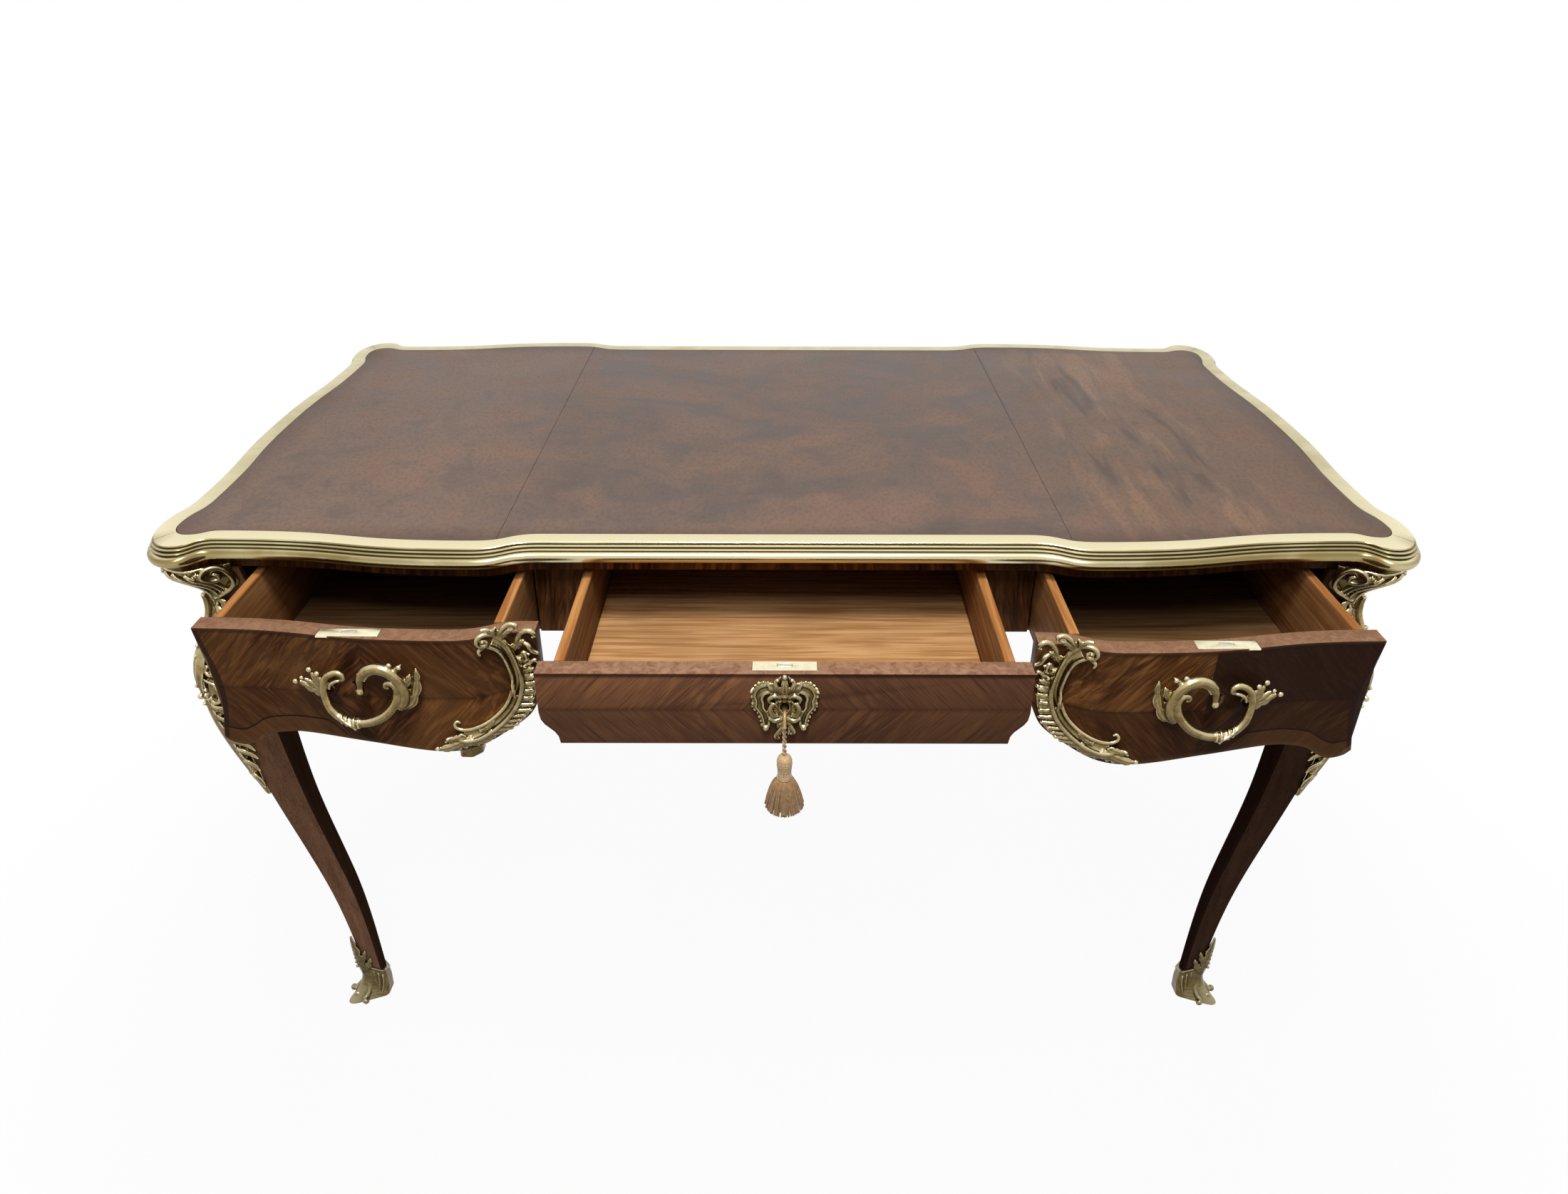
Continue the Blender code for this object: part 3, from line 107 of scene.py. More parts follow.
def modified(piece: Piece, kind: str, **settings: Any) -> Piece:
    """Put a modifier on a piece and apply it.

    Args:
        piece: the piece to change.
        kind: the modifier's type.
        settings: values for the modifier's own fields.

    Returns:
        The same piece.
    """
    only(piece)
    modifier = piece.modifiers.new(kind.lower(), kind)
    for key, value in settings.items():
        setattr(modifier, key, value)
    bpy.ops.object.modifier_apply(modifier=modifier.name)
    return piece


def shaded(piece: Piece, angle: float = 35.0) -> Piece:
    """Shade a piece smooth up to a crease angle in degrees.

    Args:
        piece: the piece to shade.
        angle: the sharpest edge that is still smooth.

    Returns:
        The same piece.
    """
    only(piece)
    bpy.ops.object.shade_smooth_by_angle(angle=radians(angle))
    return piece


def joined(name: str, pieces: Sequence[Piece]) -> Piece:
    """Join pieces into one under a name.

    Args:
        name: name of the whole.
        pieces: the pieces to join.

    Returns:
        The first piece, which now holds them all.
    """
    only(pieces[0])
    for piece in pieces:
        piece.select_set(True)
    bpy.ops.object.join()
    pieces[0].name = name
    return pieces[0]


def through(keys: Table, steps: int) -> np.ndarray:
    """Smooth curve through key points.

    Args:
        keys: points of any number of coordinates.
        steps: points in every span.

    Returns:
        The curve's points, one to a row.
    """
    knots = np.array(keys, float)
    knots = np.vstack([2 * knots[0] - knots[1], knots, 2 * knots[-1] - knots[-2]])
    t = (np.arange(steps) / steps)[:, None]
    spans = [
        0.5 * (2 * b + (c - a) * t + (2 * a - 5 * b + 4 * c - d) * t**2 + (3 * b - a - 3 * c + d) * t**3)
        for a, b, c, d in zip(knots, knots[1:], knots[2:], knots[3:])
    ]
    return np.vstack(spans + [knots[-2:-1]])


def turns(count: int, closed: bool = False) -> list[float]:
    """Angles of even steps round a circle, with the full turn too if it is closed."""
    return [2.0 * pi * step / count for step in range(count + closed)]


def circle(middle: Vector, radius: float, sides: int) -> list[Vector]:
    """Points of a level circle round a point."""
    return [middle + Vector((radius * cos(a), radius * sin(a), 0.0)) for a in turns(sides)]


def skin(name: str, rows: Sequence[Sequence[Vector]], ring: bool = False, capped: bool = False) -> Piece:
    """Lay a grid primitive over equal rows of points and close it.

    Args:
        name: name of the new piece.
        rows: the points, row by row.
        ring: join every row's end to its start.
        capped: fill the open ends.

    Returns:
        The new piece, with its faces outwards.
    """
    rows = [list(row) + [row[0]] if ring else list(row) for row in rows]
    across, up = len(rows[0]) - 1, len(rows) - 1
    bpy.ops.object.select_all(action="DESELECT")
    bpy.ops.mesh.primitive_grid_add(x_subdivisions=across, y_subdivisions=up, size=1.0)
    piece = bpy.context.object
    piece.name = name
    piece.data.vertices.foreach_set("co", np.array(rows, np.float32).ravel())
    piece.data.update()
    with editing(piece):
        bpy.ops.mesh.remove_doubles(threshold=1e-6)
        if capped:
            bpy.ops.mesh.fill_holes(sides=0)
        bpy.ops.mesh.normals_make_consistent(inside=False)
    return piece


def copied(node: str, name: str, arris: float = 0.0007) -> Piece:
    """Copy a CAD node, merge its triangles and ease its edges.

    Args:
        node: the CAD node.
        name: name of the new piece.
        arris: width of the eased edges.

    Returns:
        The new piece, which stands for the node.
    """
    piece = bpy.data.objects.new(name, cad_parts[node].data.copy())
    bpy.context.scene.collection.objects.link(piece)
    with editing(piece):
        bpy.ops.mesh.remove_doubles(threshold=1e-6)
        bpy.ops.mesh.dissolve_limited(angle_limit=radians(0.4))
    modified(piece, "BEVEL", width=arris, segments=2, limit_method="ANGLE", angle_limit=radians(40.0))
    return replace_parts(shaded(piece), node)


def fitted(piece: Piece, body: str, finish: "Finish") -> Piece:
    """Give a piece its finish and let it ride on a body.

    Args:
        piece: the finished mesh.
        body: the CAD body that carries it.
        finish: the finish to use.

    Returns:
        The same piece.
    """
    piece.data.materials.clear()
    piece.data.materials.append(finish.material())
    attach(piece, body)
    LOG.info("%s on %s, %d faces", piece.name, body, len(piece.data.polygons))
    return piece


# Finishes


class Recipe:
    """A material's node tree, written one ingredient at a time."""

    def __init__(self, name: str) -> None:
        """Start a material with its Principled shader.

        Args:
            name: the material's name.
        """
        self.material = bpy.data.materials.new(name)
        self.material.use_nodes = True
        self.tree = self.material.node_tree
        self.shader = self.tree.nodes["Principled BSDF"]

    def node(self, kind: str, **settings: Any) -> bpy.types.Node:
        """Add a node with its own fields set.

        Args:
            kind: the node's type after ShaderNode.
            settings: values for its fields.

        Returns:
            The new node.
        """
        node = self.tree.nodes.new("ShaderNode" + kind)
        for key, value in settings.items():
            setattr(node, key, value)
        return node

    def put(self, socket: bpy.types.NodeSocket, value: Any) -> None:
        """Link a socket to another, or set its own value.

        Args:
            socket: the input.
            value: an output to link, or a value.
        """
        if isinstance(value, bpy.types.NodeSocket):
            self.tree.links.new(value, socket)
        else:
            socket.default_value = (*value, 1.0) if socket.type == "RGBA" and len(value) == 3 else value

    def where(self) -> bpy.types.NodeSocket:
        """The piece's own coordinates."""
        return self.node("TexCoord").outputs["Object"]

    def placed(self, scale: Sequence[float], turn: Sequence[float] = (0, 0, 0)) -> bpy.types.NodeSocket:
        """The piece's own coordinates, turned and stretched.

        Args:
            scale: stretch along every axis.
            turn: turn about every axis in radians.

        Returns:
            The coordinates.
        """
        node = self.node("Mapping")
        self.put(node.inputs["Vector"], self.where())
        node.inputs["Scale"].default_value = scale
        node.inputs["Rotation"].default_value = turn
        return node.outputs["Vector"]

    def noise(self, where: Any, scale: float, detail: float = 3.0,
              warp: float = 0.0) -> bpy.types.NodeSocket:
        """Cloudy noise at a scale.

        Args:
            where: the coordinates.
            scale: its scale.
            detail: its octaves.
            warp: its distortion.

        Returns:
            The noise, about 0.5 on average.
        """
        node = self.node("TexNoise")
        self.put(node.inputs["Vector"], where)
        node.inputs["Scale"].default_value = scale
        node.inputs["Detail"].default_value = detail
        node.inputs["Distortion"].default_value = warp
        return node.outputs["Fac"]

    def ramp(self, value: Any, *stops: tuple[float, Any]) -> bpy.types.NodeSocket:
        """Map a value through coloured or grey stops.

        Args:
            value: the value to map.
            stops: a position and a tone each.

        Returns:
            The colour.
        """
        node = self.node("ValToRGB")
        elements = node.color_ramp.elements
        while len(elements) < len(stops):
            elements.new(0.5)
        for element, (position, tone) in zip(elements, stops):
            element.position = position
            element.color = (tone, tone, tone, 1.0) if isinstance(tone, (int, float)) else (*tone, 1.0)
        self.put(node.inputs["Fac"], value)
        return node.outputs["Color"]

    def mix(self, amount: Any, first: Any, second: Any) -> bpy.types.NodeSocket:
        """Mix two colours.

        Args:
            amount: share of the second.
            first: the colour at 0.
            second: the colour at 1.

        Returns:
            The mixed colour.
        """
        node = self.node("Mix", data_type="RGBA", blend_type="MIX")
        for index, value in ((0, amount), (6, first), (7, second)):
            self.put(node.inputs[index], value)
        return node.outputs[2]

    def calc(self, how: str, *values: Any) -> bpy.types.NodeSocket:
        """One step of arithmetic.

        Args:
            how: the operation.
            values: its inputs in order.

        Returns:
            The result.
        """
        node = self.node("Math", operation=how)
        for socket, value in zip(node.inputs, values):
            self.put(socket, value)
        return node.outputs[0]

    def parts(self, vector: Any) -> Sequence[bpy.types.NodeSocket]:
        """A vector's three coordinates.

        Args:
            vector: the vector.

        Returns:
            The outputs X, Y and Z.
        """
        node = self.node("SeparateXYZ")
        self.put(node.inputs[0], vector)
        return node.outputs

    def vector(self, *values: Any) -> bpy.types.NodeSocket:
        """A vector from three coordinates.

        Args:
            values: X, Y and Z.

        Returns:
            The vector.
        """
        node = self.node("CombineXYZ")
        for socket, value in zip(node.inputs, values):
            self.put(socket, value)
        return node.outputs[0]

    def facing_up(self) -> bpy.types.NodeSocket:
        """How far a surface faces upwards."""
        return self.parts(self.node("NewGeometry").outputs["Normal"])[2]

    def worn(self, low: float, high: float) -> bpy.types.NodeSocket:
        """Zero in recesses and one on raised edges."""
        return self.ramp(self.node("NewGeometry").outputs["Pointiness"], (low, 0.0), (high, 1.0))

    def painted(self, name: str) -> bpy.types.NodeSocket:
        """A value painted on the piece's points."""
        return self.node("Attribute", attribute_name=name).outputs["Fac"]

    def relief(self, *layers: tuple[Any, float]) -> None:
        """Bump the surface with layers of a height and its depth in metres.

        Args:
            layers: a height and its depth each.
        """
        normal = None
        for height, depth in layers:
            node = self.node("Bump")
            node.inputs["Distance"].default_value = depth
            self.put(node.inputs["Height"], height)
            if normal is not None:
                self.put(node.inputs["Normal"], normal)
            normal = node.outputs["Normal"]
        self.put(self.shader.inputs["Normal"], normal)

    def surface(self, **sockets: Any) -> bpy.types.Material:
        """Set the shader's sockets and hand the material over.

        Args:
            sockets: values by socket name, with _ for a space.

        Returns:
            The material.
        """
        for key, value in sockets.items():
            self.put(self.shader.inputs[key.replace("_", " ")], value)
        return self.material


@dataclass(frozen=True)
class Finish:
    """One finish, made into a material the first time that a piece asks for it."""

    name: str

    def material(self) -> bpy.types.Material:
        """The finish's material."""
        return bpy.data.materials.get(self.name) or self.mixed(Recipe(self.name))

    def mixed(self, recipe: Recipe) -> bpy.types.Material:
        """Write the finish into a recipe."""
        raise NotImplementedError


@dataclass(frozen=True)
class Veneer(Finish):
    """Kingwood veneer in four book-matched sheets whose grain meets in chevrons, over solid edges."""

    across: Axis = Axis.X
    centre: tuple[float, float] = (0.0, 0.65)
    climb: float = 0.9
    banded: bool = False
    # Share of painted shade on one half of a front: the half right of the sheets' meeting when positive, the
    # half left of it when negative.
    dusk: float = 0.0
    faded: float = 0.0
    patch: float = 0.38

    def mixed(self, recipe: Recipe) -> bpy.types.Material:
        """Grain streaks, pores, sheet tones, an inlaid line, reddish solid edges and painted shade on one
        half.

        Args:
            recipe: the recipe to fill.

        Returns:
            The finished material.
        """
        axes = recipe.parts(recipe.where())
        out = recipe.calc("SUBTRACT", axes[self.across.value], self.centre[0])
        up = recipe.calc("SUBTRACT", axes[2], self.centre[1])
        out_way, up_way = recipe.calc("ABSOLUTE", out), recipe.calc("ABSOLUTE", up)
        thwart = recipe.calc("MULTIPLY_ADD", up_way, self.climb, out_way)
        along = recipe.calc("SUBTRACT", recipe.calc("MULTIPLY", out_way, self.climb), up_way)
        depth = axes[1 - self.across.value]
        grain = recipe.vector(thwart, recipe.calc("MULTIPLY", along, 0.12), depth)
        streak = recipe.noise(grain, 125.0, 5.0, 0.9)
        pores = recipe.noise(recipe.vector(thwart, recipe.calc("MULTIPLY", along, 0.02), depth), 900.0, 2.0)
        figure = recipe.noise(recipe.vector(thwart, recipe.calc("MULTIPLY", along, 0.35), depth),
                              16.0, 2.0, 0.6)
        dark, mid, light = (0.029, 0.0087, 0.0029), (0.100, 0.0350, 0.0105), (0.275, 0.115, 0.036)
        wood = recipe.ramp(streak, (0.36, dark), (0.50, mid), (0.65, light))
        wood = recipe.mix(recipe.ramp(figure, (0.36, 0.0), (0.66, 0.62)), wood, (0.200, 0.084, 0.027))
        sheet = recipe.calc("GREATER_THAN", recipe.calc("MULTIPLY", out, up), 0.0)
        wood = recipe.mix(recipe.calc("MULTIPLY", sheet, self.patch), wood, (0.040, 0.0150, 0.0080))
        if self.faded:
            wood = recipe.mix(self.faded, wood, (0.197, 0.091, 0.0556))
        # Painted shade darkens one half of the front.
        if self.dusk:
            shaded_half = recipe.calc("GREATER_THAN", recipe.calc("MULTIPLY", out, self.dusk), 0.0)
            wood = recipe.mix(recipe.calc("MULTIPLY", shaded_half, abs(self.dusk)), wood, (0.017, 0.0068, 0.0042))
        joint = recipe.calc("MINIMUM", out_way, up_way)
        wood = recipe.mix(recipe.ramp(joint, (0.0, 0.35), (0.0009, 0.0)), wood, (0.02, 0.008, 0.005))
        wood = recipe.mix(recipe.ramp(pores, (0.30, 0.55), (0.45, 0.0)), wood, (0.018, 0.008, 0.005))
        if self.banded:
            edge = recipe.painted("rise")
            band = recipe.ramp(edge, (0.0, 1.0), (0.96, 1.0), (1.0, 0.0))
            wood = recipe.mix(recipe.calc("MULTIPLY", band, 0.30), wood, (0.190, 0.085, 0.032))
            line = recipe.ramp(edge, (0.88, 0.0), (0.92, 1.0), (0.97, 1.0), (1.0, 0.0))
            wood = recipe.mix(line, wood, (0.014, 0.0055, 0.004))
            margin = recipe.ramp(recipe.painted("margin"), (0.0, 0.8), (0.92, 0.8), (1.0, 0.0))
            wood = recipe.mix(margin, wood, (0.030, 0.0125, 0.0105))
        lip = recipe.ramp(axes[2], (0.7205, 0.0), (0.7222, 0.85), (0.7262, 0.85), (0.7275, 0.0))
        wood = recipe.mix(lip, wood, (0.012, 0.0052, 0.0040))
        edge_wood = recipe.ramp(streak, (0.3, (0.235, 0.105, 0.058)), (0.7, (0.430, 0.240, 0.140)))
        wood = recipe.mix(recipe.ramp(recipe.facing_up(), (0.80, 0.0), (0.92, 1.0)), wood, edge_wood)
        if self.banded:
            wood = recipe.mix(recipe.worn(0.505, 0.56), wood, recipe.mix(0.5, wood, (0.24, 0.125, 0.062)))
        rough = recipe.ramp(streak, (0.3, 0.42), (0.7, 0.32))
        recipe.relief((pores, 0.00006), (streak, 0.00012))
        return recipe.surface(Base_Color=wood, Roughness=rough, Specular_IOR_Level=0.035)


@dataclass(frozen=True)
class LegVeneer(Finish):
    """Kingwood veneer whose grain climbs a leg, with painted shade on its inner faces and on the right."""

    def mixed(self, recipe: Recipe) -> bpy.types.Material:
        """Long grain with a wavy figure, and painted shade on the inner faces and the right legs.

        Args:
            recipe: the recipe to fill.

        Returns:
            The finished material.
        """
        grain = recipe.placed((1.0, 1.0, 0.05), (0.10, -0.14, 0.0))
        streak = recipe.noise(grain, 105.0, 5.0, 0.3)
        pores = recipe.noise(recipe.placed((1.0, 1.0, 0.02), (0.10, -0.14, 0.0)), 950.0, 2.0)
        figure = recipe.noise(recipe.placed((1.0, 1.0, 0.22)), 17.0, 2.0, 0.5)
        wood = recipe.ramp(streak, (0.32, (0.190, 0.090, 0.049)), (0.52, (0.290, 0.146, 0.083)),
                           (0.70, (0.390, 0.208, 0.122)))
        wood = recipe.mix(recipe.ramp(figure, (0.34, 0.0), (0.70, 0.6)), wood, (0.335, 0.174, 0.101))
        wood = recipe.mix(recipe.ramp(pores, (0.30, 0.5), (0.45, 0.0)), wood, (0.02, 0.009, 0.006))
        # Painted shade on the faces that turn towards the table's middle.
        here = recipe.parts(recipe.where())
        faces = recipe.parts(recipe.node("NewGeometry").outputs["Normal"])
        sides = ((here[0], faces[0], 0.0), (here[1], faces[1], PLAN.centring))
        for place, normal, middle in sides:
            inward = recipe.calc("MULTIPLY", recipe.calc("SIGN", recipe.calc("SUBTRACT", place, middle)),
                                 normal)
            wood = recipe.mix(recipe.ramp(recipe.calc("MULTIPLY", inward, -1.0), (0.25, 0.0), (0.65, 0.88)),
                              wood, (0.016, 0.0070, 0.0042))
        # Painted shade on the right-hand legs.
        right = recipe.ramp(here[0], (0.0, 0.0), (0.3, 0.78))
        wood = recipe.mix(right, wood, (0.022, 0.0105, 0.0088))
        recipe.relief((pores, 0.00006), (streak, 0.00012))
        rough = recipe.ramp(streak, (0.3, 0.42), (0.7, 0.32))
        return recipe.surface(Base_Color=wood, Roughness=rough, Specular_IOR_Level=0.0)


@dataclass(frozen=True)
class DrawerOak(Finish):
    """Waxed honey oak inside the drawers and the carcass, with its grain along one axis."""

    along: Axis = Axis.Y
    tone: float = 1.0
    rim: bool = False

    def mixed(self, recipe: Recipe) -> bpy.types.Material:
        """Long rays and open pores, darker where hands and dust have been.

        Args:
            recipe: the recipe to fill.

        Returns:
            The finished material.
        """
        stretch = [1.0, 1.0, 1.0]
        stretch[self.along.value] = 0.045
        fine = list(stretch)
        fine[self.along.value] = 0.015
        streak = recipe.noise(recipe.placed(stretch), 170.0, 6.0, 0.35)
        pores = recipe.noise(recipe.placed(fine), 700.0, 2.0)
        stain = recipe.noise(recipe.where(), 9.0, 3.0, 0.4)
        # A tone below 1 darkens the whole board; inside the drawers it is painted shade.
        tone = self.tone
        warmth = (1.12, 0.95, 0.85) if self.rim else (1.0, 1.0, 1.0)
        honey = [tuple(c * tone * w for c, w in zip(colour, warmth)) for colour in
                 ((0.44, 0.205, 0.070), (0.62, 0.325, 0.130), (0.74, 0.425, 0.190))]
        wood = recipe.ramp(streak, (0.37, honey[0]), (0.5, honey[1]), (0.62, honey[2]))
        wood = recipe.mix(recipe.ramp(pores, (0.32, 0.5), (0.46, 0.0)),
                          wood, tuple(c * 0.6 for c in honey[0]))
        wood = recipe.mix(recipe.ramp(stain, (0.35, 0.45), (0.62, 0.0)),
                          wood, tuple(c * 0.55 for c in honey[1]))
        if self.rim:
            edge = recipe.ramp(streak, (0.36, (0.38, 0.145, 0.040)), (0.64, (0.68, 0.315, 0.105)))
            wood = recipe.mix(recipe.ramp(recipe.facing_up(), (0.75, 0.0), (0.95, 0.95)), wood, edge)
        recipe.relief((pores, 0.00009), (streak, 0.00015))
        rough = recipe.ramp(streak, (0.3, 0.56), (0.7, 0.44))
        return recipe.surface(Base_Color=wood, Roughness=rough, Specular_IOR_Level=0.05)


@dataclass(frozen=True)
class WornLeather(Finish):
    """Old brown hide: grey where it is handled, reddish towards its edges, scuffed on one side."""

    def mixed(self, recipe: Recipe) -> bpy.types.Material:
        """Broad stains, scuffs that run front to back, and a fine pebble.

        Args:
            recipe: the recipe to fill.

        Returns:
            The finished material.
        """
        axes = recipe.parts(recipe.where())
        wide = recipe.noise(recipe.placed((0.8, 1.3, 1.0)), 4.6, 7.0, 0.7)
        blotch = recipe.noise(recipe.placed((1.0, 0.65, 1.0)), 19.0, 10.0, 0.5)
        fleck = recipe.noise(recipe.placed((1.0, 0.55, 1.0)), 260.0, 3.0)
        pebble = recipe.node("TexVoronoi", feature="DISTANCE_TO_EDGE")
        recipe.put(pebble.inputs["Vector"], recipe.placed((1.0, 0.8, 1.0)))
        pebble.inputs["Scale"].default_value = 900.0
        hide = recipe.ramp(wide, (0.36, (0.198, 0.132, 0.103)), (0.50, (0.143, 0.109, 0.093)),
                           (0.64, (0.214, 0.131, 0.095)))
        hide = recipe.mix(recipe.ramp(blotch, (0.44, 0.0), (0.66, 0.50)), hide, (0.252, 0.157, 0.112))
        left = recipe.ramp(recipe.calc("MULTIPLY", axes[0], -1.0), (0.28, 0.0), (0.42, 0.42))
        hide = recipe.mix(left, hide, (0.285, 0.182, 0.132))
        hide = recipe.mix(recipe.ramp(axes[0], (0.28, 0.0), (0.42, 0.50)), hide, (0.228, 0.134, 0.083))
        hide = recipe.mix(recipe.ramp(blotch, (0.30, 0.55), (0.44, 0.0)), hide, (0.115, 0.088, 0.074))
        scuff = recipe.noise(recipe.placed((1.0, 0.16, 1.0), (0.0, 0.0, -0.12)), 42.0, 4.0, 0.5)
        right = recipe.ramp(axes[0], (0.33, 0.0), (0.40, 1.0), (0.52, 0.9), (0.60, 0.0))
        hide = recipe.mix(recipe.calc("MULTIPLY", right, recipe.ramp(scuff, (0.50, 0.0), (0.64, 0.75))),
                          hide, (0.315, 0.190, 0.118))
        hide = recipe.mix(recipe.calc("MULTIPLY", right, recipe.ramp(scuff, (0.34, 0.6), (0.44, 0.0))),
                          hide, (0.085, 0.062, 0.050))
        hide = recipe.mix(recipe.ramp(fleck, (0.35, 0.35), (0.55, 0.0)), hide, (0.105, 0.075, 0.060))
        front = recipe.calc("ABSOLUTE", recipe.calc("SUBTRACT", axes[1], PLAN.centring))
        rim = recipe.calc("MAXIMUM", recipe.calc("SUBTRACT", recipe.calc("ABSOLUTE", axes[0]), 0.311),
                          front)
        hide = recipe.mix(recipe.ramp(rim, (0.318, 0.0), (0.352, 0.55)), hide, (0.088, 0.052, 0.040))
        recipe.relief((pebble.outputs["Distance"], 0.00025), (fleck, 0.00012), (blotch, 0.0006))
        rough = recipe.ramp(blotch, (0.3, 0.46), (0.7, 0.60))
        return recipe.surface(Base_Color=hide, Roughness=rough, Specular_IOR_Level=0.17)


@dataclass(frozen=True)
class Brass(Finish):
    """Polished brass, browned at its joints and tarnished in its grooves, with painted reflections: dark in
    its grooves, under its mouldings and in streaks towards its ends, and pale along the front.
    """

    def mixed(self, recipe: Recipe) -> bpy.types.Material:
        """Bright metal with drawn scratches, tarnish and painted reflections.

        Args:
            recipe: the recipe to fill.

        Returns:
            The finished material.
        """
        cloud = recipe.noise(recipe.where(), 24.0, 4.0, 0.4)
        spot = recipe.noise(recipe.where(), 330.0, 2.0)
        metal = recipe.ramp(cloud, (0.30, (0.57, 0.485, 0.245)), (0.62, (0.70, 0.620, 0.362)))
        metal = recipe.mix(recipe.ramp(spot, (0.24, 0.5), (0.31, 0.0)), metal, (0.36, 0.26, 0.12))
        here = recipe.parts(recipe.where())
        # Painted highlight: pale gold on the flat top of the front edge and on the middle of the front.
        front = recipe.ramp(recipe.calc("MULTIPLY", here[1], -1.0), (0.05, 0.0), (0.22, 0.85))
        flat = recipe.ramp(recipe.facing_up(), (0.80, 0.0), (0.97, 1.0))
        middle = recipe.ramp(recipe.calc("ABSOLUTE", here[0]), (0.28, 0.8), (0.46, 0.0))
        painted_highlight = recipe.calc("MULTIPLY", front, recipe.calc("MAXIMUM", flat, middle))
        metal = recipe.mix(painted_highlight, metal, (0.94, 0.845, 0.540))
        # Painted reflection: dark streaks on the upright faces towards the ends.
        sweep = recipe.ramp(recipe.noise(recipe.placed((1.0, 0.4, 3.0)), 13.0, 3.0, 0.3), (0.36, 0.0),
                            (0.58, 0.80))
        sweep = recipe.calc("MULTIPLY", sweep,
                            recipe.ramp(recipe.calc("ABSOLUTE", here[0]), (0.26, 0.15), (0.42, 1.0)))
        upright = recipe.ramp(recipe.facing_up(), (0.80, 1.0), (0.97, 0.0))
        metal = recipe.mix(recipe.calc("MULTIPLY", sweep, upright), metal, (0.300, 0.215, 0.072))
        # Tarnish in the grooves, and painted reflection: dark under the beads and the torus.
        metal = recipe.mix(recipe.painted("tarnish_and_reflection"), metal, (0.075, 0.052, 0.018))
        metal = recipe.mix(recipe.painted("joint"), metal, (0.34, 0.25, 0.105))
        rough = recipe.mix(recipe.painted("tarnish_and_reflection"), recipe.ramp(cloud, (0.3, 0.25), (0.7, 0.18)),
                           (0.5, 0.5, 0.5))
        recipe.relief((cloud, 0.00015))
        return recipe.surface(Base_Color=metal, Roughness=rough, Metallic=1.0)


@dataclass(frozen=True)
class GiltBronze(Finish):
    """Old gilding, rubbed bright on its high points and brown in its recesses, with painted highlights on its
    high points and upper faces and painted shade on its lower faces.
    """

    tone: float = 1.0

    def mixed(self, recipe: Recipe) -> bpy.types.Material:
        """Patina by relief with a little cloudiness, and painted light by which way a face looks.

        Args:
            recipe: the recipe to fill.

        Returns:
            The finished material.
        """
        cloud = recipe.noise(recipe.where(), 130.0, 4.0, 0.4)
        low, mid, high = (tuple(c * self.tone for c in colour) for colour in
                          ((0.204, 0.140, 0.053), (0.380, 0.279, 0.118), (0.93, 0.815, 0.510)))
        gold = recipe.ramp(cloud, (0.30, low), (0.65, mid))
        # Painted light by facing: painted shade on faces that look down, painted highlight on faces that look
        # up.
        facing_for_painted_light = recipe.calc("MULTIPLY_ADD", recipe.facing_up(), 0.5, 0.5)
        gold = recipe.mix(recipe.ramp(facing_for_painted_light, (0.25, 0.88), (0.48, 0.45), (0.66, 0.0)),
                          gold, (0.046, 0.029, 0.009))
        gold = recipe.mix(recipe.ramp(facing_for_painted_light, (0.62, 0.0), (0.92, 0.60)), gold, high)
        # Rubbed gilding and painted highlight on the raised edges.
        gold = recipe.mix(recipe.worn(0.516, 0.572), gold, high)
        recess = recipe.ramp(recipe.node("NewGeometry").outputs["Pointiness"], (0.44, 1.0), (0.493, 0.0))
        gold = recipe.mix(recess, gold, (0.024, 0.016, 0.006))
        rough = recipe.mix(recess, recipe.ramp(cloud, (0.3, 0.30), (0.7, 0.20)), (0.55, 0.55, 0.55))
        recipe.relief((recipe.noise(recipe.where(), 420.0, 3.0), 0.00018))
        return recipe.surface(Base_Color=gold, Roughness=rough, Metallic=1.0)


@dataclass(frozen=True)
class LockBrass(Finish):
    """Pale lock brass, scratched, with steel in the bolts."""

    colour: tuple[float, float, float] = (0.96, 0.88, 0.62)

    def mixed(self, recipe: Recipe) -> bpy.types.Material:
        """Fine scratches along the plate.

        Args:
            recipe: the recipe to fill.

        Returns:
            The finished material.
        """
        scratch = recipe.noise(recipe.placed((0.05, 1.0, 1.0)), 1400.0, 2.0)
        cloud = recipe.noise(recipe.where(), 160.0, 3.0)
        shade = tuple(c * 0.86 for c in self.colour)
        metal = recipe.ramp(cloud, (0.32, shade), (0.6, self.colour))
        metal = recipe.mix(recipe.ramp(scratch, (0.30, 0.4), (0.42, 0.0)), metal, shade)
        recipe.relief((scratch, 0.00005))
        return recipe.surface(Base_Color=metal, Roughness=recipe.ramp(cloud, (0.3, 0.42), (0.7, 0.28)),
                              Metallic=1.0)


@dataclass(frozen=True)
class Silk(Finish):
    """Gold silk yarn, shaded down its strands."""

    pale: tuple[float, float, float] = (0.55, 0.345, 0.160)
    deep: tuple[float, float, float] = (0.22, 0.112, 0.043)

    def mixed(self, recipe: Recipe) -> bpy.types.Material:
        """Strand streaks that run downwards, with a sheen.

        Args:
            recipe: the recipe to fill.

        Returns:
            The finished material.
        """
        strand = recipe.noise(recipe.placed((1.0, 1.0, 0.04)), 1500.0, 3.0)
        cloud = recipe.noise(recipe.where(), 190.0, 2.0)
        yarn = recipe.ramp(strand, (0.30, self.deep), (0.68, self.pale))
        yarn = recipe.mix(recipe.ramp(cloud, (0.4, 0.35), (0.6, 0.0)), yarn, self.deep)
        recipe.relief((strand, 0.0003))
        return recipe.surface(Base_Color=yarn, Roughness=0.52, Sheen_Weight=0.4, Sheen_Roughness=0.4)


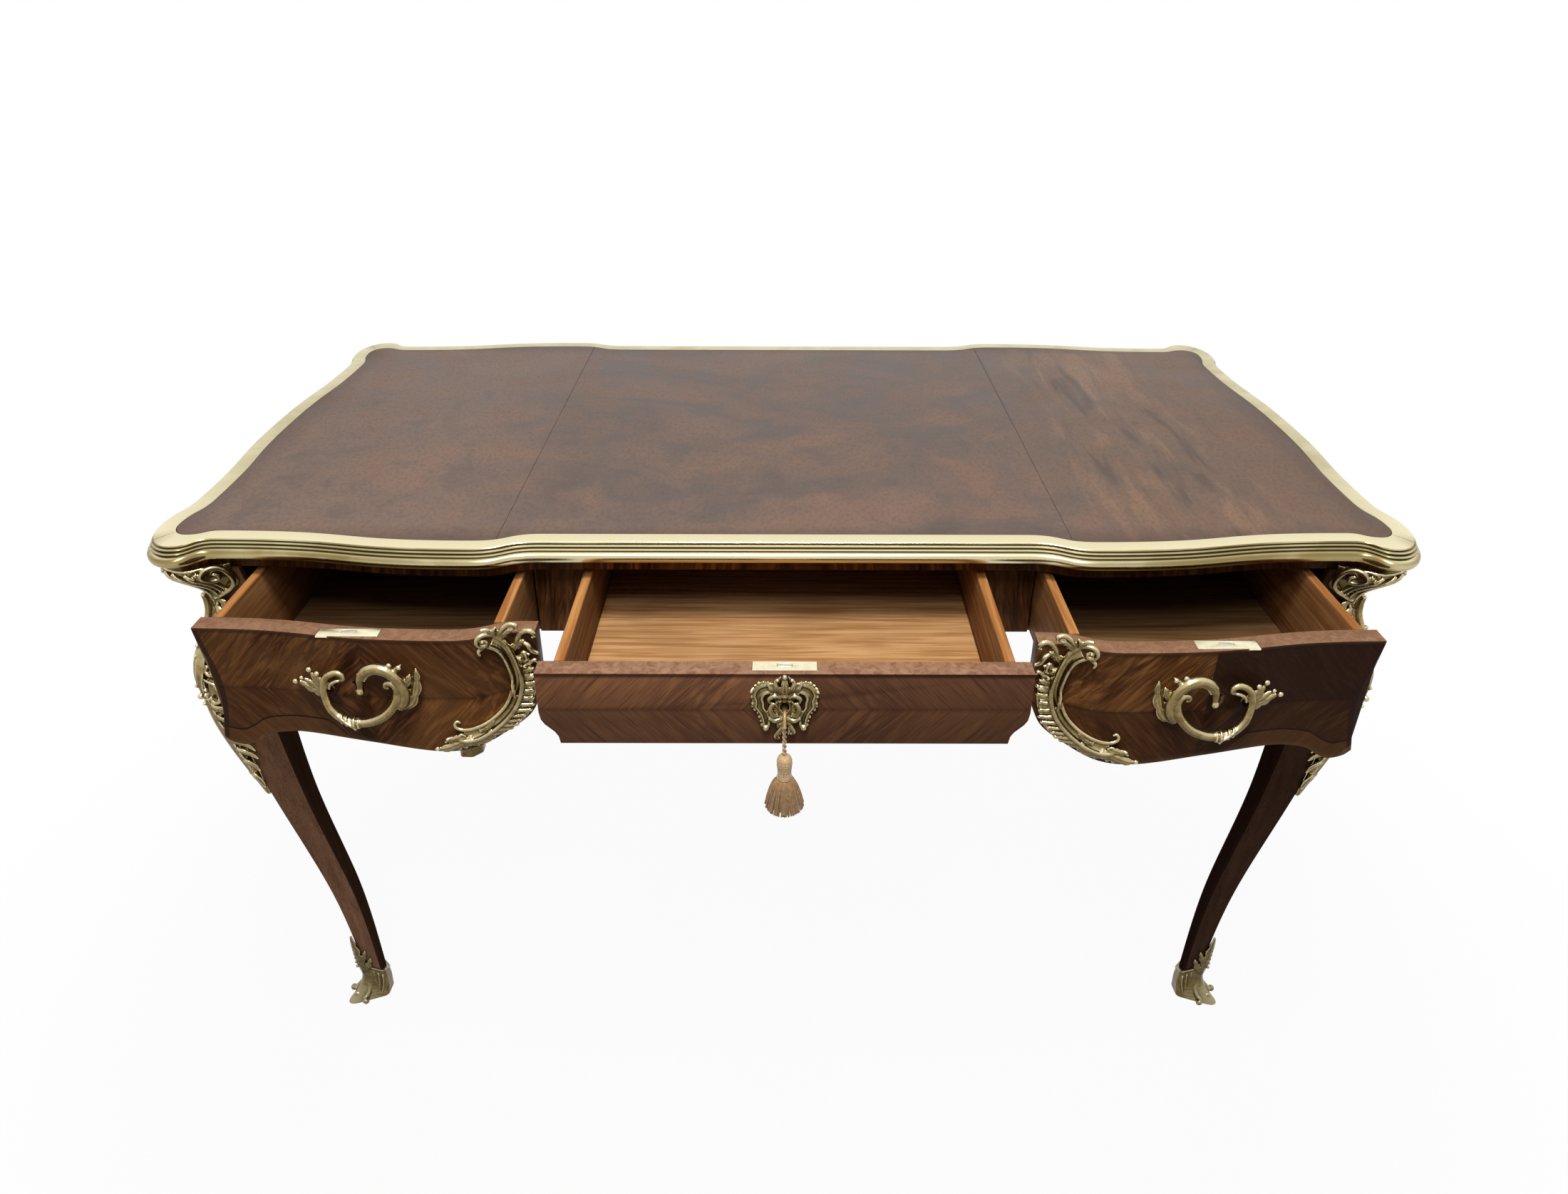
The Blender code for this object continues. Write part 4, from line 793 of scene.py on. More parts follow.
GILT = GiltBronze("gilt_bronze_rubbed")
# The sabots take a darker copy of the gilt: painted shade low down by the floor.
GILT_FOOT = GiltBronze("gilt_bronze_foot", 0.50)
GILT_SHIELD = GiltBronze("gilt_bronze_shield", 0.78)
BRASS = Brass("edge_brass_polished")
LEATHER = WornLeather("worn_hide")
LOCK = LockBrass("lock_brass_pale")
BOLT = LockBrass("bolt_steel_grey", (0.66, 0.64, 0.60))
KEY = LockBrass("key_brass_dark", (0.50, 0.37, 0.17))
SKIRT = Silk("tassel_silk")
BINDING = Silk("binding_silk", (0.88, 0.630, 0.350), (0.46, 0.260, 0.110))
# The drawers' sides and backs and the side drawers' floors are the same oak at a low tone: painted shade
# inside the drawers.
OAK_SIDE = DrawerOak("oak_front_to_back", Axis.Y, 0.35, True)
OAK_DEEP_SIDE = DrawerOak("oak_deep_side", Axis.Y, 0.41, True)
OAK_FLOOR = DrawerOak("oak_floor", Axis.X)
OAK_SIDE_FLOOR = DrawerOak("oak_side_floor", Axis.X, 0.36)
OAK_BACK = DrawerOak("oak_back", Axis.X, 0.34, True)
OAK_DARK = DrawerOak("oak_carcass", Axis.Y, 0.42)


# The table's own lines


@dataclass(frozen=True)
class TopPlan:
    """Serpentine plan of the top, measured from the table's centre lines to its brass edge."""

    half_width: float = 0.696
    half_depth: float = 0.385
    centre_recess: float = 0.017
    recess: tuple[float, float] = (0.262, 0.335)
    bay_sweep: float = 0.0235
    ear_waist: float = 0.084
    ear_front: float = 0.042
    ear_side: float = 0.001
    ear_drop: float = 0.067
    ear_pinch: float = 0.23
    waist: float = 0.011
    waist_drop: float = 0.135
    grip: float = 0.55
    centring: float = 0.09685
    fineness: int = 3
    corner_steps: int = 23

    def bend(self, start: Sequence[float], start_way: int, end: Sequence[float],
             end_way: int, steps: int) -> list:
        """Points of one span between tangents along X (0) or Y (1), without its end point.

        Args:
            start: its first point.
            start_way: axis of the tangent there.
            end: its last point.
            end_way: axis of the tangent there.
            steps: coarse steps along it.

        Returns:
            The points.
        """
        start, end = Vector(start), Vector(end)
        reach = end - start
        first, second = start.copy(), end.copy()
        first[start_way] += abs(reach[start_way]) * self.grip
        second[end_way] -= abs(reach[end_way]) * self.grip
        shares = [step / (steps * self.fineness) for step in range(steps * self.fineness)]
        return [
            start * (1 - t) ** 3 + first * (3 * (1 - t) ** 2 * t)
            + second * (3 * (1 - t) * t * t) + end * t**3
            for t in shares
        ]

    def quarter(self, inset: float) -> tuple[list[Vector], int]:
        """Front right quarter of a line inside the edge, and its corner's index.

        Args:
            inset: distance inside the edge.

        Returns:
            The points from the middle of the front to the middle of the side, and the index.
        """
        bay = inset - self.half_depth
        side = self.half_width - inset
        keys = (
            ((0.0, bay + self.centre_recess), 0, 2),
            ((self.recess[0], bay + self.centre_recess), 0, 6),
            ((self.recess[1], bay), 0, 8),
            ((self.half_width - self.ear_waist, bay + self.bay_sweep), 0, 4),
            ((self.half_width - self.ear_front - self.ear_pinch * inset, bay + 2 * self.ear_pinch * inset),
             0, 6),
            ((side - self.ear_side, self.ear_drop - self.half_depth), 1, 4),
            ((side - self.waist, self.waist_drop - self.half_depth), 1, 5),
            ((side, 0.0), 1, 0),
        )
        points: list[Vector] = []
        for (start, way, steps), (end, end_way, _) in zip(keys, keys[1:]):
            points += self.bend(start, way, end, end_way, steps)
        return points + [Vector(keys[-1][0])], self.corner_steps * self.fineness

    def whole(self, inset: float) -> tuple[list[Vector], tuple[int, int, int, int]]:
        """Closed plan from the front's middle, and the indices of its four corners.

        Args:
            inset: distance inside the edge.

        Returns:
            The points, and the indices.
        """
        quarter, corner = self.quarter(inset)
        behind = [Vector((p.x, -p.y)) for p in reversed(quarter[1:-1])]
        half = quarter + behind + [Vector((0.0, -quarter[0].y))]
        plan = half + [Vector((-p.x, p.y)) for p in reversed(half[1:-1])]
        opposite = 2 * (len(quarter) - 1) - corner
        return plan, (corner, opposite, len(plan) - opposite, len(plan) - corner)


PLAN = TopPlan()
FRONT_LINE = np.array(PLAN.quarter(0.0)[0])
FRIEZE_SETBACK = 0.027


def face_y(x: float) -> float:
    """Y of a closed side drawer's face, from the table's centre line."""
    return float(np.interp(abs(x), FRONT_LINE[:, 0], FRONT_LINE[:, 1])) + FRIEZE_SETBACK


@dataclass(frozen=True)
class FrontFace:
    """Face of one drawer where it stands at rest; ornament is laid over it in millimetres."""

    opening: float
    flat: bool = False
    flat_y: float = -0.341

    def at(self, across: float, up: float, lift: float) -> Vector:
        """The place over a point of the face, by its distance out from the surface."""
        base = self.flat_y if self.flat else face_y(across * MM)
        return Vector((across * MM, base - lift * MM - self.opening + PLAN.centring, up * MM))


LEFT_FACE = FrontFace(0.130)
CENTRE_FACE = FrontFace(0.205, True)
RIGHT_FACE = FrontFace(0.150)


@dataclass(frozen=True)
class LegForm:
    """Cabriole leg by its outer and inner corner lines, each a height and two distances."""

    stations: Table = (
        (0.0, 0.612, 0.5795),
        (0.045, 0.6075, 0.5795),
        (0.200, 0.619, 0.583),
        (0.400, 0.648, 0.598),
        (0.5769, 0.674, 0.5985),
        (0.6839, 0.648, 0.5985),
        (0.7289, 0.656, 0.5985),
    )
    diagonal: float = 0.314
    block_low: float = 0.5639
    block_inner: float = 0.5985
    corner_round: float = 0.30
    chamfer: float = 0.42
    arris: float = 0.0025

    def lines(self, height: float) -> tuple[float, float]:
        """Outer and inner corner distances at a height.

        Args:
            height: height over the floor.

        Returns:
            The two distances from the table's middle.
        """
        curve = LEG_CURVE
        outer = float(np.interp(height, curve[:, 0], curve[:, 1]))
        inner = float(np.interp(height, curve[:, 0], curve[:, 2]))
        return outer, (self.block_inner if height >= self.block_low else inner)

    def section(self, height: float, arc: int = 10) -> list[tuple[float, float]]:
        """Plan of the leg at a height, rounded outside and chamfered inside.

        Args:
            height: height over the floor.
            arc: steps round the outer corner.

        Returns:
            The points, from the table's centre lines.
        """
        outer, inner = self.lines(height)
        width = outer - inner
        turn, cut = width * self.corner_round, width * self.chamfer
        middle = outer - turn
        angles = [pi / 2.0 * step / arc for step in range(arc + 1)]
        points = [(middle + turn * cos(a), middle + turn * sin(a)) for a in angles]
        soft = self.arris
        points += [(inner + soft, outer), (inner, outer - soft), (inner, inner + cut + soft)]
        points += [(inner + soft * 0.3, inner + cut - soft * 0.3),
                   (inner + cut - soft * 0.3, inner + soft * 0.3)]
        points += [(inner + cut + soft, inner), (outer - soft, inner), (outer, inner + soft)]
        return [(x, y - self.diagonal) for x, y in points]

    def at(self, across: float, up: float, lift: float) -> Vector:
        """The place over the front right leg's outer corner, in millimetres round it, up and out.

        Args:
            across: distance round the corner.
            up: height over the floor.
            lift: distance out from the surface.

        Returns:
            The place in metres.
        """
        outer, inner = self.lines(up * MM)
        turn = (outer - inner) * self.corner_round
        middle = outer - turn
        reach = abs(across) * MM
        arc = turn * pi / 4.0
        radius = turn + lift * MM
        if reach <= arc:
            angle = pi / 4.0 + reach / turn
            x, y = middle + radius * cos(angle), middle + radius * sin(angle)
        else:
            x, y = middle - (reach - arc), outer + lift * MM
        if across < 0.0:
            x, y = y, x
        return Vector((x, PLAN.centring - (y - self.diagonal), up * MM))


LEG_CURVE = through(LegForm.stations, 16)
LEG = LegForm()


# Top


@dataclass
class Top:
    """Board, three hide panels and the moulded brass edge."""

    band: tuple[float, float] = (0.0284, 0.0090)
    crown: float = 0.770
    foot: float = 0.7466
    foot_inset: float = 0.0075
    arris: float = 0.0004
    # The last column of lip_line and reed_line is tarnish with painted reflection: dark in the grooves and
    # under the beads.
    lip_line: Table = ((0.0012, 0.0, 0.0), (0.0003, 0.0001, 0.0), (-0.0003, 0.0006, 0.0),
                       (-0.0004, 0.0017, 0.1), (0.0004, 0.0021, 1.0), (0.0004, 0.0027, 1.0))
    reeds: Table = ((0.0028, 0.0030), (0.0046, 0.0066))
    reed_line: Table = ((0.0014, 0.0, 0.80), (0.0004, 0.0005, 0.0), (0.0, 0.0013, 0.16),
                        (0.0004, 0.0022, 0.85), (0.0011, 0.0026, 1.0), (0.0011, 0.0032, 1.0))
    torus: tuple[float, float, float] = (0.7535, 0.0062, 0.0050)
    torus_turn: tuple[int, int, int] = (75, -91, -11)
    joint_reach: float = 0.010
    joint_core: float = 0.012
    kerf: float = 0.0004
    # Painted reflection on the torus by angle in degrees: dark underneath, bright at the middle, a darker band
    # above it and a bright top.
    gleams: Table = ((-90, 0.88), (-57, 0.50), (-35, 0.28), (-24, 0.18), (-13, 0.08), (-2, 0.0), (9, 0.02),
                     (20, 0.14), (31, 0.36), (42, 0.34), (53, 0.10), (75, 0.0))

    def section(self) -> list[tuple[float, float, float]]:
        """The edge's section as inset, height and tarnish with painted reflection, from its foot inside round
        to its foot outside.

        Returns:
            The section's points in order.
        """
        inner, lip = self.band
        top = self.crown
        rows = [(inner, self.foot, 0.3), (inner, top - self.arris, 0.5), (inner - self.arris, top, 0.1)]
        rows += [(lip + inset, top - drop, tone) for inset, drop, tone in self.lip_line]
        for depth, sunk in self.reeds:
            rows += [(lip - depth + inset, top - sunk - drop, tone) for inset, drop, tone in self.reed_line]
        height, tall, deep = self.torus
        for angle in range(*self.torus_turn):
            swell = radians(angle)
            shade = float(np.interp(angle, *zip(*self.gleams)))
            rows.append((self.arris + deep * (1.0 - cos(swell)), height + tall * sin(swell), shade))
        return rows + [(self.foot_inset, self.foot, 0.8)]

    def edges(self) -> None:
        """Loft the four lengths of brass and paint their grooves and joints."""
        section = self.section()
        lines = [PLAN.whole(inset)[0] for inset, _, _ in section]
        corners = PLAN.whole(0.0)[1]
        count = len(lines[0])
        spans = (
            ("edge_right", corners[0], corners[1]),
            ("edge_back", corners[1], corners[2]),
            ("edge_left", corners[2], corners[3]),
            ("edge_front", corners[3], corners[0] + count),
        )
        shift = Vector((0.0, PLAN.centring, 0.0))
        for node, first, last in spans:
            rows = []
            for index in range(first, last + 1):
                ring = [Vector((*line[index % count], z)) for line, (_, z, _) in zip(lines, section)]
                rows.append([point + shift for point in ring])
            step = (rows[1][0] - rows[0][0]).length
            rows[0] = [a.lerp(b, self.kerf / step) for a, b in zip(rows[0], rows[1])]
            piece = skin("brass_" + node, rows, ring=True, capped=True)
            self.paint(piece, rows, section)
            shaded(piece, 28.0)
            fitted(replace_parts(piece, node), "table", BRASS)

    def paint(self, piece: Piece, rows: Sequence[Sequence[Vector]], section: Table) -> None:
        """Paint tarnish and painted reflection along the grooves and mouldings, and redness at both ends of a
        length of brass.

        Args:
            piece: the length of brass.
            rows: its section's points, place by place.
            section: the section with its tarnish and painted reflection.
        """
        places = {tuple(round(c, 5) for c in p): tone[2] for row in rows for p, tone in zip(row, section)}
        ends = [sum(row, Vector()) / len(row) for row in (rows[0], rows[-1])]
        tarnish_and_reflection = piece.data.attributes.new("tarnish_and_reflection", "FLOAT", "POINT")
        joint = piece.data.attributes.new("joint", "FLOAT", "POINT")
        for index, vertex in enumerate(piece.data.vertices):
            tarnish_and_reflection.data[index].value = places.get(tuple(round(c, 5) for c in vertex.co), 0.0)
            near = min((vertex.co - end).length for end in ends) - self.joint_core
            joint.data[index].value = max(0.0, 0.5 * (1.0 - max(0.0, near) / self.joint_reach))

    def build(self) -> None:
        """Make every piece of the top."""
        self.edges()
        wood = Veneer("top_edge_wood", Axis.X, (0.0, 0.40), 0.15)
        fitted(copied("top_board", "top_carcase_board"), "table", wood)
        for panel in ("left", "centre", "right"):
            piece = copied("leather_" + panel, "hide_panel_" + panel, 0.0005)
            fitted(piece, "table", LEATHER)


# Carcass and drawers


@dataclass
class Carcass:
    """Legs, friezes, dividers and runners."""

    levels: int = 72
    leg_foot: float = 0.0045
    leg_head: float = 0.7287

    def legs(self) -> None:
        """Loft one leg and copy it to the four corners."""
        heights = np.linspace(self.leg_foot, self.leg_head, self.levels)
        rows = [[Vector((x, PLAN.centring - y, z)) for x, y in LEG.section(z)] for z in heights]
        master = shaded(skin("veneered_leg", rows, ring=True, capped=True), 32.0)
        for node, piece in at_corners("leg_", master, "veneered_leg_"):
            fitted(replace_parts(piece, node), "table", LegVeneer("kingwood_leg"))

    def build(self) -> None:
        """Make every piece of the carcass."""
        self.legs()
        back = Veneer("kingwood_back", Axis.X, (0.0, 0.655), 0.8)
        fitted(copied("frieze_back", "veneered_frieze_back"), "table", back)
        side = Veneer("kingwood_side", Axis.Y, (PLAN.centring, 0.66), 0.8)
        for label in ("left", "right"):
            fitted(copied("frieze_" + label, "veneered_frieze_" + label), "table", side)
            stile = Veneer("kingwood_stile_" + label, Axis.X, (0.0, 0.40), 0.12)
            fitted(copied("divider_" + label, "veneered_divider_" + label), "table", stile)
            for stem in ("runner_inner_", "runner_outer_", "runner_centre_"):
                fitted(copied(stem + label, "oak_" + stem + label), "table", OAK_DARK)


CORNERS = (("front_right", 1, 1), ("front_left", -1, 1), ("back_right", 1, -1), ("back_left", -1, -1))


def mirrored(piece: Piece, name: str, across: int, along: int, slide: float = 0.0) -> Piece:
    """Copy a piece's mesh to another side of the table.

    Args:
        piece: the piece on the front right.
        name: the copy's name.
        across: -1 to mirror it to the left.
        along: -1 to mirror it to the back.
        slide: distance that the copy moves back.

    Returns:
        The copy, with its faces outwards.
    """
    copy = bpy.data.objects.new(name, piece.data.copy())
    bpy.context.scene.collection.objects.link(copy)
    places = np.empty(len(copy.data.vertices) * 3, np.float32)
    copy.data.vertices.foreach_get("co", places)
    places = places.reshape(-1, 3)
    places[:, 0] *= across
    places[:, 1] = PLAN.centring + (places[:, 1] - PLAN.centring) * along + slide
    copy.data.vertices.foreach_set("co", places.ravel())
    copy.data.update()
    if across * along < 0:
        with editing(copy):
            bpy.ops.mesh.flip_normals()
    return copy


def at_corners(stem: str, master: Piece, name: str) -> Iterator[tuple[str, Piece]]:
    """Copies of a front right piece at all four corners, with the CAD node that each stands for.

    Args:
        stem: start of the nodes' names.
        master: the front right piece.
        name: start of the copies' names.

    Returns:
        A node and its piece, corner by corner.
    """
    for corner, across, along in CORNERS:
        piece = master if (across, along) == (1, 1) else mirrored(master, name + corner, across, along)
        if piece is master:
            piece.name = name + corner
        yield stem + corner, piece


@dataclass
class Drawers:
    """Three drawers with their veneered fronts, oak boxes, locks and bolts."""

    inner: float = 0.2505
    outer: float = 0.597
    top: float = 0.7249
    height: float = 0.145
    hollow: float = 0.011
    sweep: float = 1.5
    pull_from: float = 0.75
    thickness: float = 0.022
    columns: int = 110
    levels: int = 34
    lower_edge: Table = ((0.2505, 0.664), (0.2540, 0.6450), (0.268, 0.6219), (0.300, 0.6020),
                         (0.352, 0.5889), (0.430, 0.5975), (0.500, 0.6015), (0.525, 0.6000),
                         (0.5456, 0.5955), (0.560, 0.5860), (0.573, 0.5803), (0.588, 0.5835),
                         (0.597, 0.5905))
    inlay_rise: float = 0.0215
    inlay_reach: tuple[float, float] = (0.475, 0.025)
    margin: float = 0.0055
    selvedge: float = 0.002
    lock_body: float = 0.0115
    play: float = 0.0003
    key_height: float = 0.6709
    key_x: float = 0.436
    arris: float = 0.0009
    keyhole: tuple[float, float, float] = (0.0030, 0.0034, 0.0100)
    sheets_meet: tuple[float, float] = (0.424, 0.655)
    # Each side front's share of painted shade on its outer half, then its sheet tone.
    left_tone: tuple[float, float] = (-0.20, 0.38)
    right_tone: tuple[float, float] = (0.76, 0.66)

    def __post_init__(self) -> None:
        """Draw the lower edge's curve."""
        self.curve = through(self.lower_edge, 8)

    def box(self, label: str) -> None:
        """The oak sides, back and floor behind a front.

        Args:
            label: left, centre or right.
        """
        body = "drawer_" + label
        # Every board but the centre floor takes a darker copy of the oak, as painted shade.
        floor, side = (OAK_FLOOR, OAK_SIDE) if label == "centre" else (OAK_SIDE_FLOOR, OAK_DEEP_SIDE)
        boards = (("_side_left", side), ("_side_right", OAK_DEEP_SIDE), ("_back", OAK_BACK),
                  ("_bottom", floor))
        for stem, finish in boards:
            fitted(copied(body + stem, "oak_" + body + stem, 0.0016), body, finish)

    def low(self, x: float) -> float:
        """Height of a side front's lower edge."""
        return float(np.interp(x, self.curve[:, 0], self.curve[:, 1]))

    def end(self, z: float) -> float:
        """Distance of a side front's hollow outer edge at a height."""
        share = min(1.0, max(0.0, (self.top - z) / self.height))
        return self.outer - self.hollow * sin(pi * share) ** self.sweep

    def blank(self, label: str, side: float, opening: float) -> Piece:
        """A side front as a fine serpentine board between its curved edges.

        Args:
            label: left or right.
            side: -1 on the left and 1 on the right.
            opening: how far the drawer is out.

        Returns:
            The board.
        """
        columns = (1.0 - np.cos(pi * np.linspace(0.0, 1.0, self.columns))) / 2.0
        rows = []
        for u in columns:
            low = self.low(self.inner + (self.outer - self.inner) * u)
            pull = max(0.0, (u - self.pull_from) / (1.0 - self.pull_from)) ** self.sweep
            face = []
            for z in np.linspace(low, self.top, self.levels):
                x = self.inner + (self.outer - self.inner) * u - (self.outer - self.end(z)) * pull
                face.append(Vector((side * x, face_y(x) - opening + PLAN.centring, z)))
            rows.append(face + [point + Vector((0.0, self.thickness, 0.0)) for point in reversed(face)])
        return skin("veneered_front_" + label, rows, ring=True, capped=True)

    def cut(self, piece: Piece, low: Sequence[float], high: Sequence[float]) -> None:
        """Cut a square hole between two corners out of a piece.

        Args:
            piece: the piece to cut.
            low: the hole's lowest corner.
            high: its highest corner.
        """
        bpy.ops.object.select_all(action="DESELECT")
        bpy.ops.mesh.primitive_cube_add(size=1.0, location=[(a + b) / 2.0 for a, b in zip(low, high)],
                                        scale=[b - a for a, b in zip(low, high)])
        self.take_out(piece, bpy.context.object)

    def take_out(self, piece: Piece, cutter: Piece) -> None:
        """Cut one piece out of another and throw it away."""
        modified(piece, "BOOLEAN", object=cutter, operation="DIFFERENCE", solver="EXACT")
        bpy.data.objects.remove(cutter)

    def side_front(self, label: str, side: float, opening: float) -> None:
        """A serpentine front with its lock's seat, its keyhole, and the inlaid line painted.

        Args:
            label: left or right.
            side: -1 on the left and 1 on the right.
            opening: how far the drawer is out.
        """
        body = "drawer_" + label
        piece = self.blank(label, side, opening)
        first, last = (Vector(corner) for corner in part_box("lock_" + label))
        ease = Vector((self.play, self.play, self.play))
        behind = Vector((self.play, self.play, self.thickness))
        seat = Vector((first.x, last.y - self.lock_body, first.z))
        lip = Vector((first.x, first.y, self.top - self.selvedge))
        self.cut(piece, seat - ease, last + behind)
        self.cut(piece, lip - ease, last + behind)
        radius, slot, drop = self.keyhole
        x = side * self.key_x
        self.cut(piece, (x - slot / 2.0, first.y - self.thickness, self.key_height - drop),
                 (x + slot / 2.0, last.y, self.key_height))
        bpy.ops.object.select_all(action="DESELECT")
        bpy.ops.mesh.primitive_cylinder_add(vertices=24, radius=radius, depth=2.0 * self.thickness,
                                            location=(x, first.y, self.key_height),
                                            rotation=(pi / 2.0, 0.0, 0.0))
        self.take_out(piece, bpy.context.object)
        modified(piece, "BEVEL", width=self.arris, segments=2, limit_method="ANGLE",
                 angle_limit=radians(40.0))
        self.paint(shaded(piece))
        dusk, patch = self.right_tone if side > 0.0 else self.left_tone
        across, up = self.sheets_meet
        wood = Veneer("kingwood_" + label, Axis.X, (side * across, up), 0.9, True, dusk, 0.0, patch)
        fitted(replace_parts(piece, body + "_front"), body, wood)

    def paint(self, piece: Piece) -> None:
        """Paint the rise over the lower edge for the inlaid line, and the way in from the outer edge.

        Args:
            piece: the front.
        """
        rise = piece.data.attributes.new("rise", "FLOAT", "POINT")
        margin = piece.data.attributes.new("margin", "FLOAT", "POINT")
        start, fade = self.inlay_reach
        for index, vertex in enumerate(piece.data.vertices):
            x, z = abs(vertex.co.x), vertex.co.z
            rise.data[index].value = (z - self.low(x)) / self.inlay_rise + max(0.0, (start - x) / fade)
            margin.data[index].value = (self.end(z) - x) / self.margin

    def centre_front(self) -> None:
        """The flat veneered front of the centre drawer."""
        # The 0.30 here is painted shade on the centre front's right half.
        wood = Veneer("kingwood_centre", Axis.X, (0.0, 0.684), 0.9, False, 0.30, 0.45)
        fitted(copied("drawer_centre_front", "veneered_front_centre", self.arris),
               "drawer_centre", wood)

    def lock(self, label: str) -> None:
        """The lock in a front, and its bolt."""
        fitted(copied("lock_" + label, "drawer_lock_" + label, 0.0004),
               "drawer_" + label, LOCK)
        fitted(copied("bolt_" + label, "lock_bolt_" + label, 0.0005), "bolt_" + label, BOLT)

    def build(self) -> None:
        """Make all three drawers."""
        self.side_front("left", -1.0, LEFT_FACE.opening)
        self.centre_front()
        self.side_front("right", 1.0, RIGHT_FACE.opening)
        for label in ("left", "centre", "right"):
            self.box(label)
            self.lock(label)


# Key, cord and tassel


@dataclass
class Tassel:
    """The key in the centre lock, and the tassel that hangs on it."""

    y: float = -0.47165
    cord_top: float = 0.6794
    cord_length: float = 0.044
    cord_width: float = 0.0046
    twist: float = 4.0
    top: float = 0.6471
    head: tuple[float, float] = (0.0071, 0.0270)
    skirt: tuple[float, float] = (0.0203, 0.0370)
    strands: int = 190
    strand_radius: float = 0.00075
    seed: int = 7
    rings: int = 41
    yarn: tuple[float, float] = (0.24, 0.26)
    yarn_sides: int = 8
    sides: int = 48
    bands: tuple[float, float] = (0.04, 26.0)
    plies: tuple[float, float, float] = (0.06, 6.0, 9.0)
    strand_turn: float = 2.4
    strand_sides: int = 4
    spread: tuple[float, float] = (0.72, 0.28)
    lengths: tuple[float, float, float] = (0.95, 0.05, 0.15)
    lean: float = 0.05
    roots: tuple[float, float, float] = (0.0056, 0.0052, 0.0058)
    knots: tuple[float, ...] = (0.0, 0.15, 0.45, 0.75, 1.0)
    head_line: Table = ((0.0, 0.0), (0.6, 0.03), (0.92, 0.15), (1.0, 0.36), (0.90, 0.62), (0.88, 0.80),
                        (0.98, 1.0))
    core_line: Table = ((-0.02, 0.0058), (0.12, 0.0096), (0.5, 0.0142), (0.86, 0.0152))

    def cord(self) -> tuple[Piece, list[tuple[float, float, float]]]:
        """Two twisted yarns down one straight line.

        Returns:
            The cord, and the points that it follows.
        """
        reach, radius = (self.cord_width * share for share in self.yarn)
        shares = [index / (self.rings - 1) for index in range(self.rings)]
        yarns = []
        for start in (0.0, pi):
            rows = []
            for share in shares:
                angle = start + 2.0 * pi * self.twist * share
                middle = Vector((reach * cos(angle), self.y + reach * sin(angle),
                                 self.cord_top - self.cord_length * share))
                rows.append(circle(middle, radius, self.yarn_sides))
            yarns.append(skin("cord_yarn", rows, ring=True, capped=True))
        piece = shaded(joined("twisted_cord", yarns), 60.0)
        path = [(0.0, self.y, self.cord_top - self.cord_length * share) for share in shares]
        fitted(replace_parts(piece, "tassel_cord"), "cord", BINDING)
        return piece, path

    def bound_head(self) -> Piece:
        """The bound head, rippled by its bands and plies.

        Returns:
            The head.
        """
        radius, tall = self.head
        band_depth, band_count = self.bands
        ply_depth, plies, ply_twist = self.plies
        turn = turns(self.sides)
        rows = []
        for share, height in through(self.head_line, 8):
            bands = 1.0 + band_depth * abs(sin(band_count * height))
            ripple = [bands + ply_depth * abs(sin(plies * angle + ply_twist * height)) for angle in turn]
            rows.append([
                Vector((radius * share * r * cos(a), self.y + radius * share * r * sin(a),
                        self.top - tall * height))
                for a, r in zip(turn, ripple)
            ])
        head = shaded(skin("silk_tassel_head", rows, ring=True, capped=True), 60.0)
        return fitted(head, "tassel", BINDING)

    def strand(self, index: int, rng: np.random.Generator) -> Piece:
        """One strand of the skirt.

        Args:
            index: its number.
            rng: where its spread, length and lean are drawn from.

        Returns:
            The strand.
        """
        flare, drop = self.skirt
        tight, loose = self.spread
        longest, uneven, shorter = self.lengths
        start, inset, outset = self.roots
        spread = tight + loose * rng.random()
        length = drop * (longest + uneven * rng.random() - shorter * ((spread - tight) / loose) ** 2)
        lean = rng.normal(0.0, self.lean)
        keys = []
        for share in self.knots:
            r = (inset + (flare - outset) * spread * (share**0.50)) if share else start
            a = self.strand_turn * index + lean * share
            keys.append((r * cos(a), self.y + r * sin(a), self.top - self.head[1] - length * share))
        rows = [circle(Vector(knot), self.strand_radius, self.strand_sides) for knot in through(keys, 2)]
        return skin("strand", rows, ring=True, capped=True)

    def tassel(self) -> list[Piece]:
        """A skirt of strands, and the bound head over it.

        Returns:
            The skirt and the head.
        """
        head = self.bound_head()
        neck, drop = self.top - self.head[1], self.skirt[1]
        core = [
            [Vector((r * cos(a), self.y + r * sin(a), neck - drop * share)) for a in turns(self.sides)]
            for share, r in self.core_line
        ]
        rng = np.random.default_rng(self.seed)
        parts = [skin("tassel_core", core, ring=True, capped=True)]
        parts += [self.strand(index, rng) for index in range(self.strands)]
        piece = shaded(joined("silk_tassel", parts), 60.0)
        return [fitted(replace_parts(piece, "tassel"), "tassel", SKIRT), head]

    def build(self) -> None:
        """Make the key, the cord and the tassel."""
        fitted(copied("key", "lock_key", 0.0003), "key", KEY)
        cord, path = self.cord()
        tassel = self.tassel()
        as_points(path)


# Gilt castings


def spaced(keys: Table, count: int) -> np.ndarray:
    """Points along a smooth line, a number of them.

    Args:
        keys: points that it goes through, across and up.
        count: the number of points.

    Returns:
        The points, one to a row.
    """
    path = through([key[:2] for key in keys], 8)
    picks = np.linspace(0, len(path) - 1, count)
    return np.stack([np.interp(picks, np.arange(len(path)), path[:, axis]) for axis in (0, 1)], axis=1)


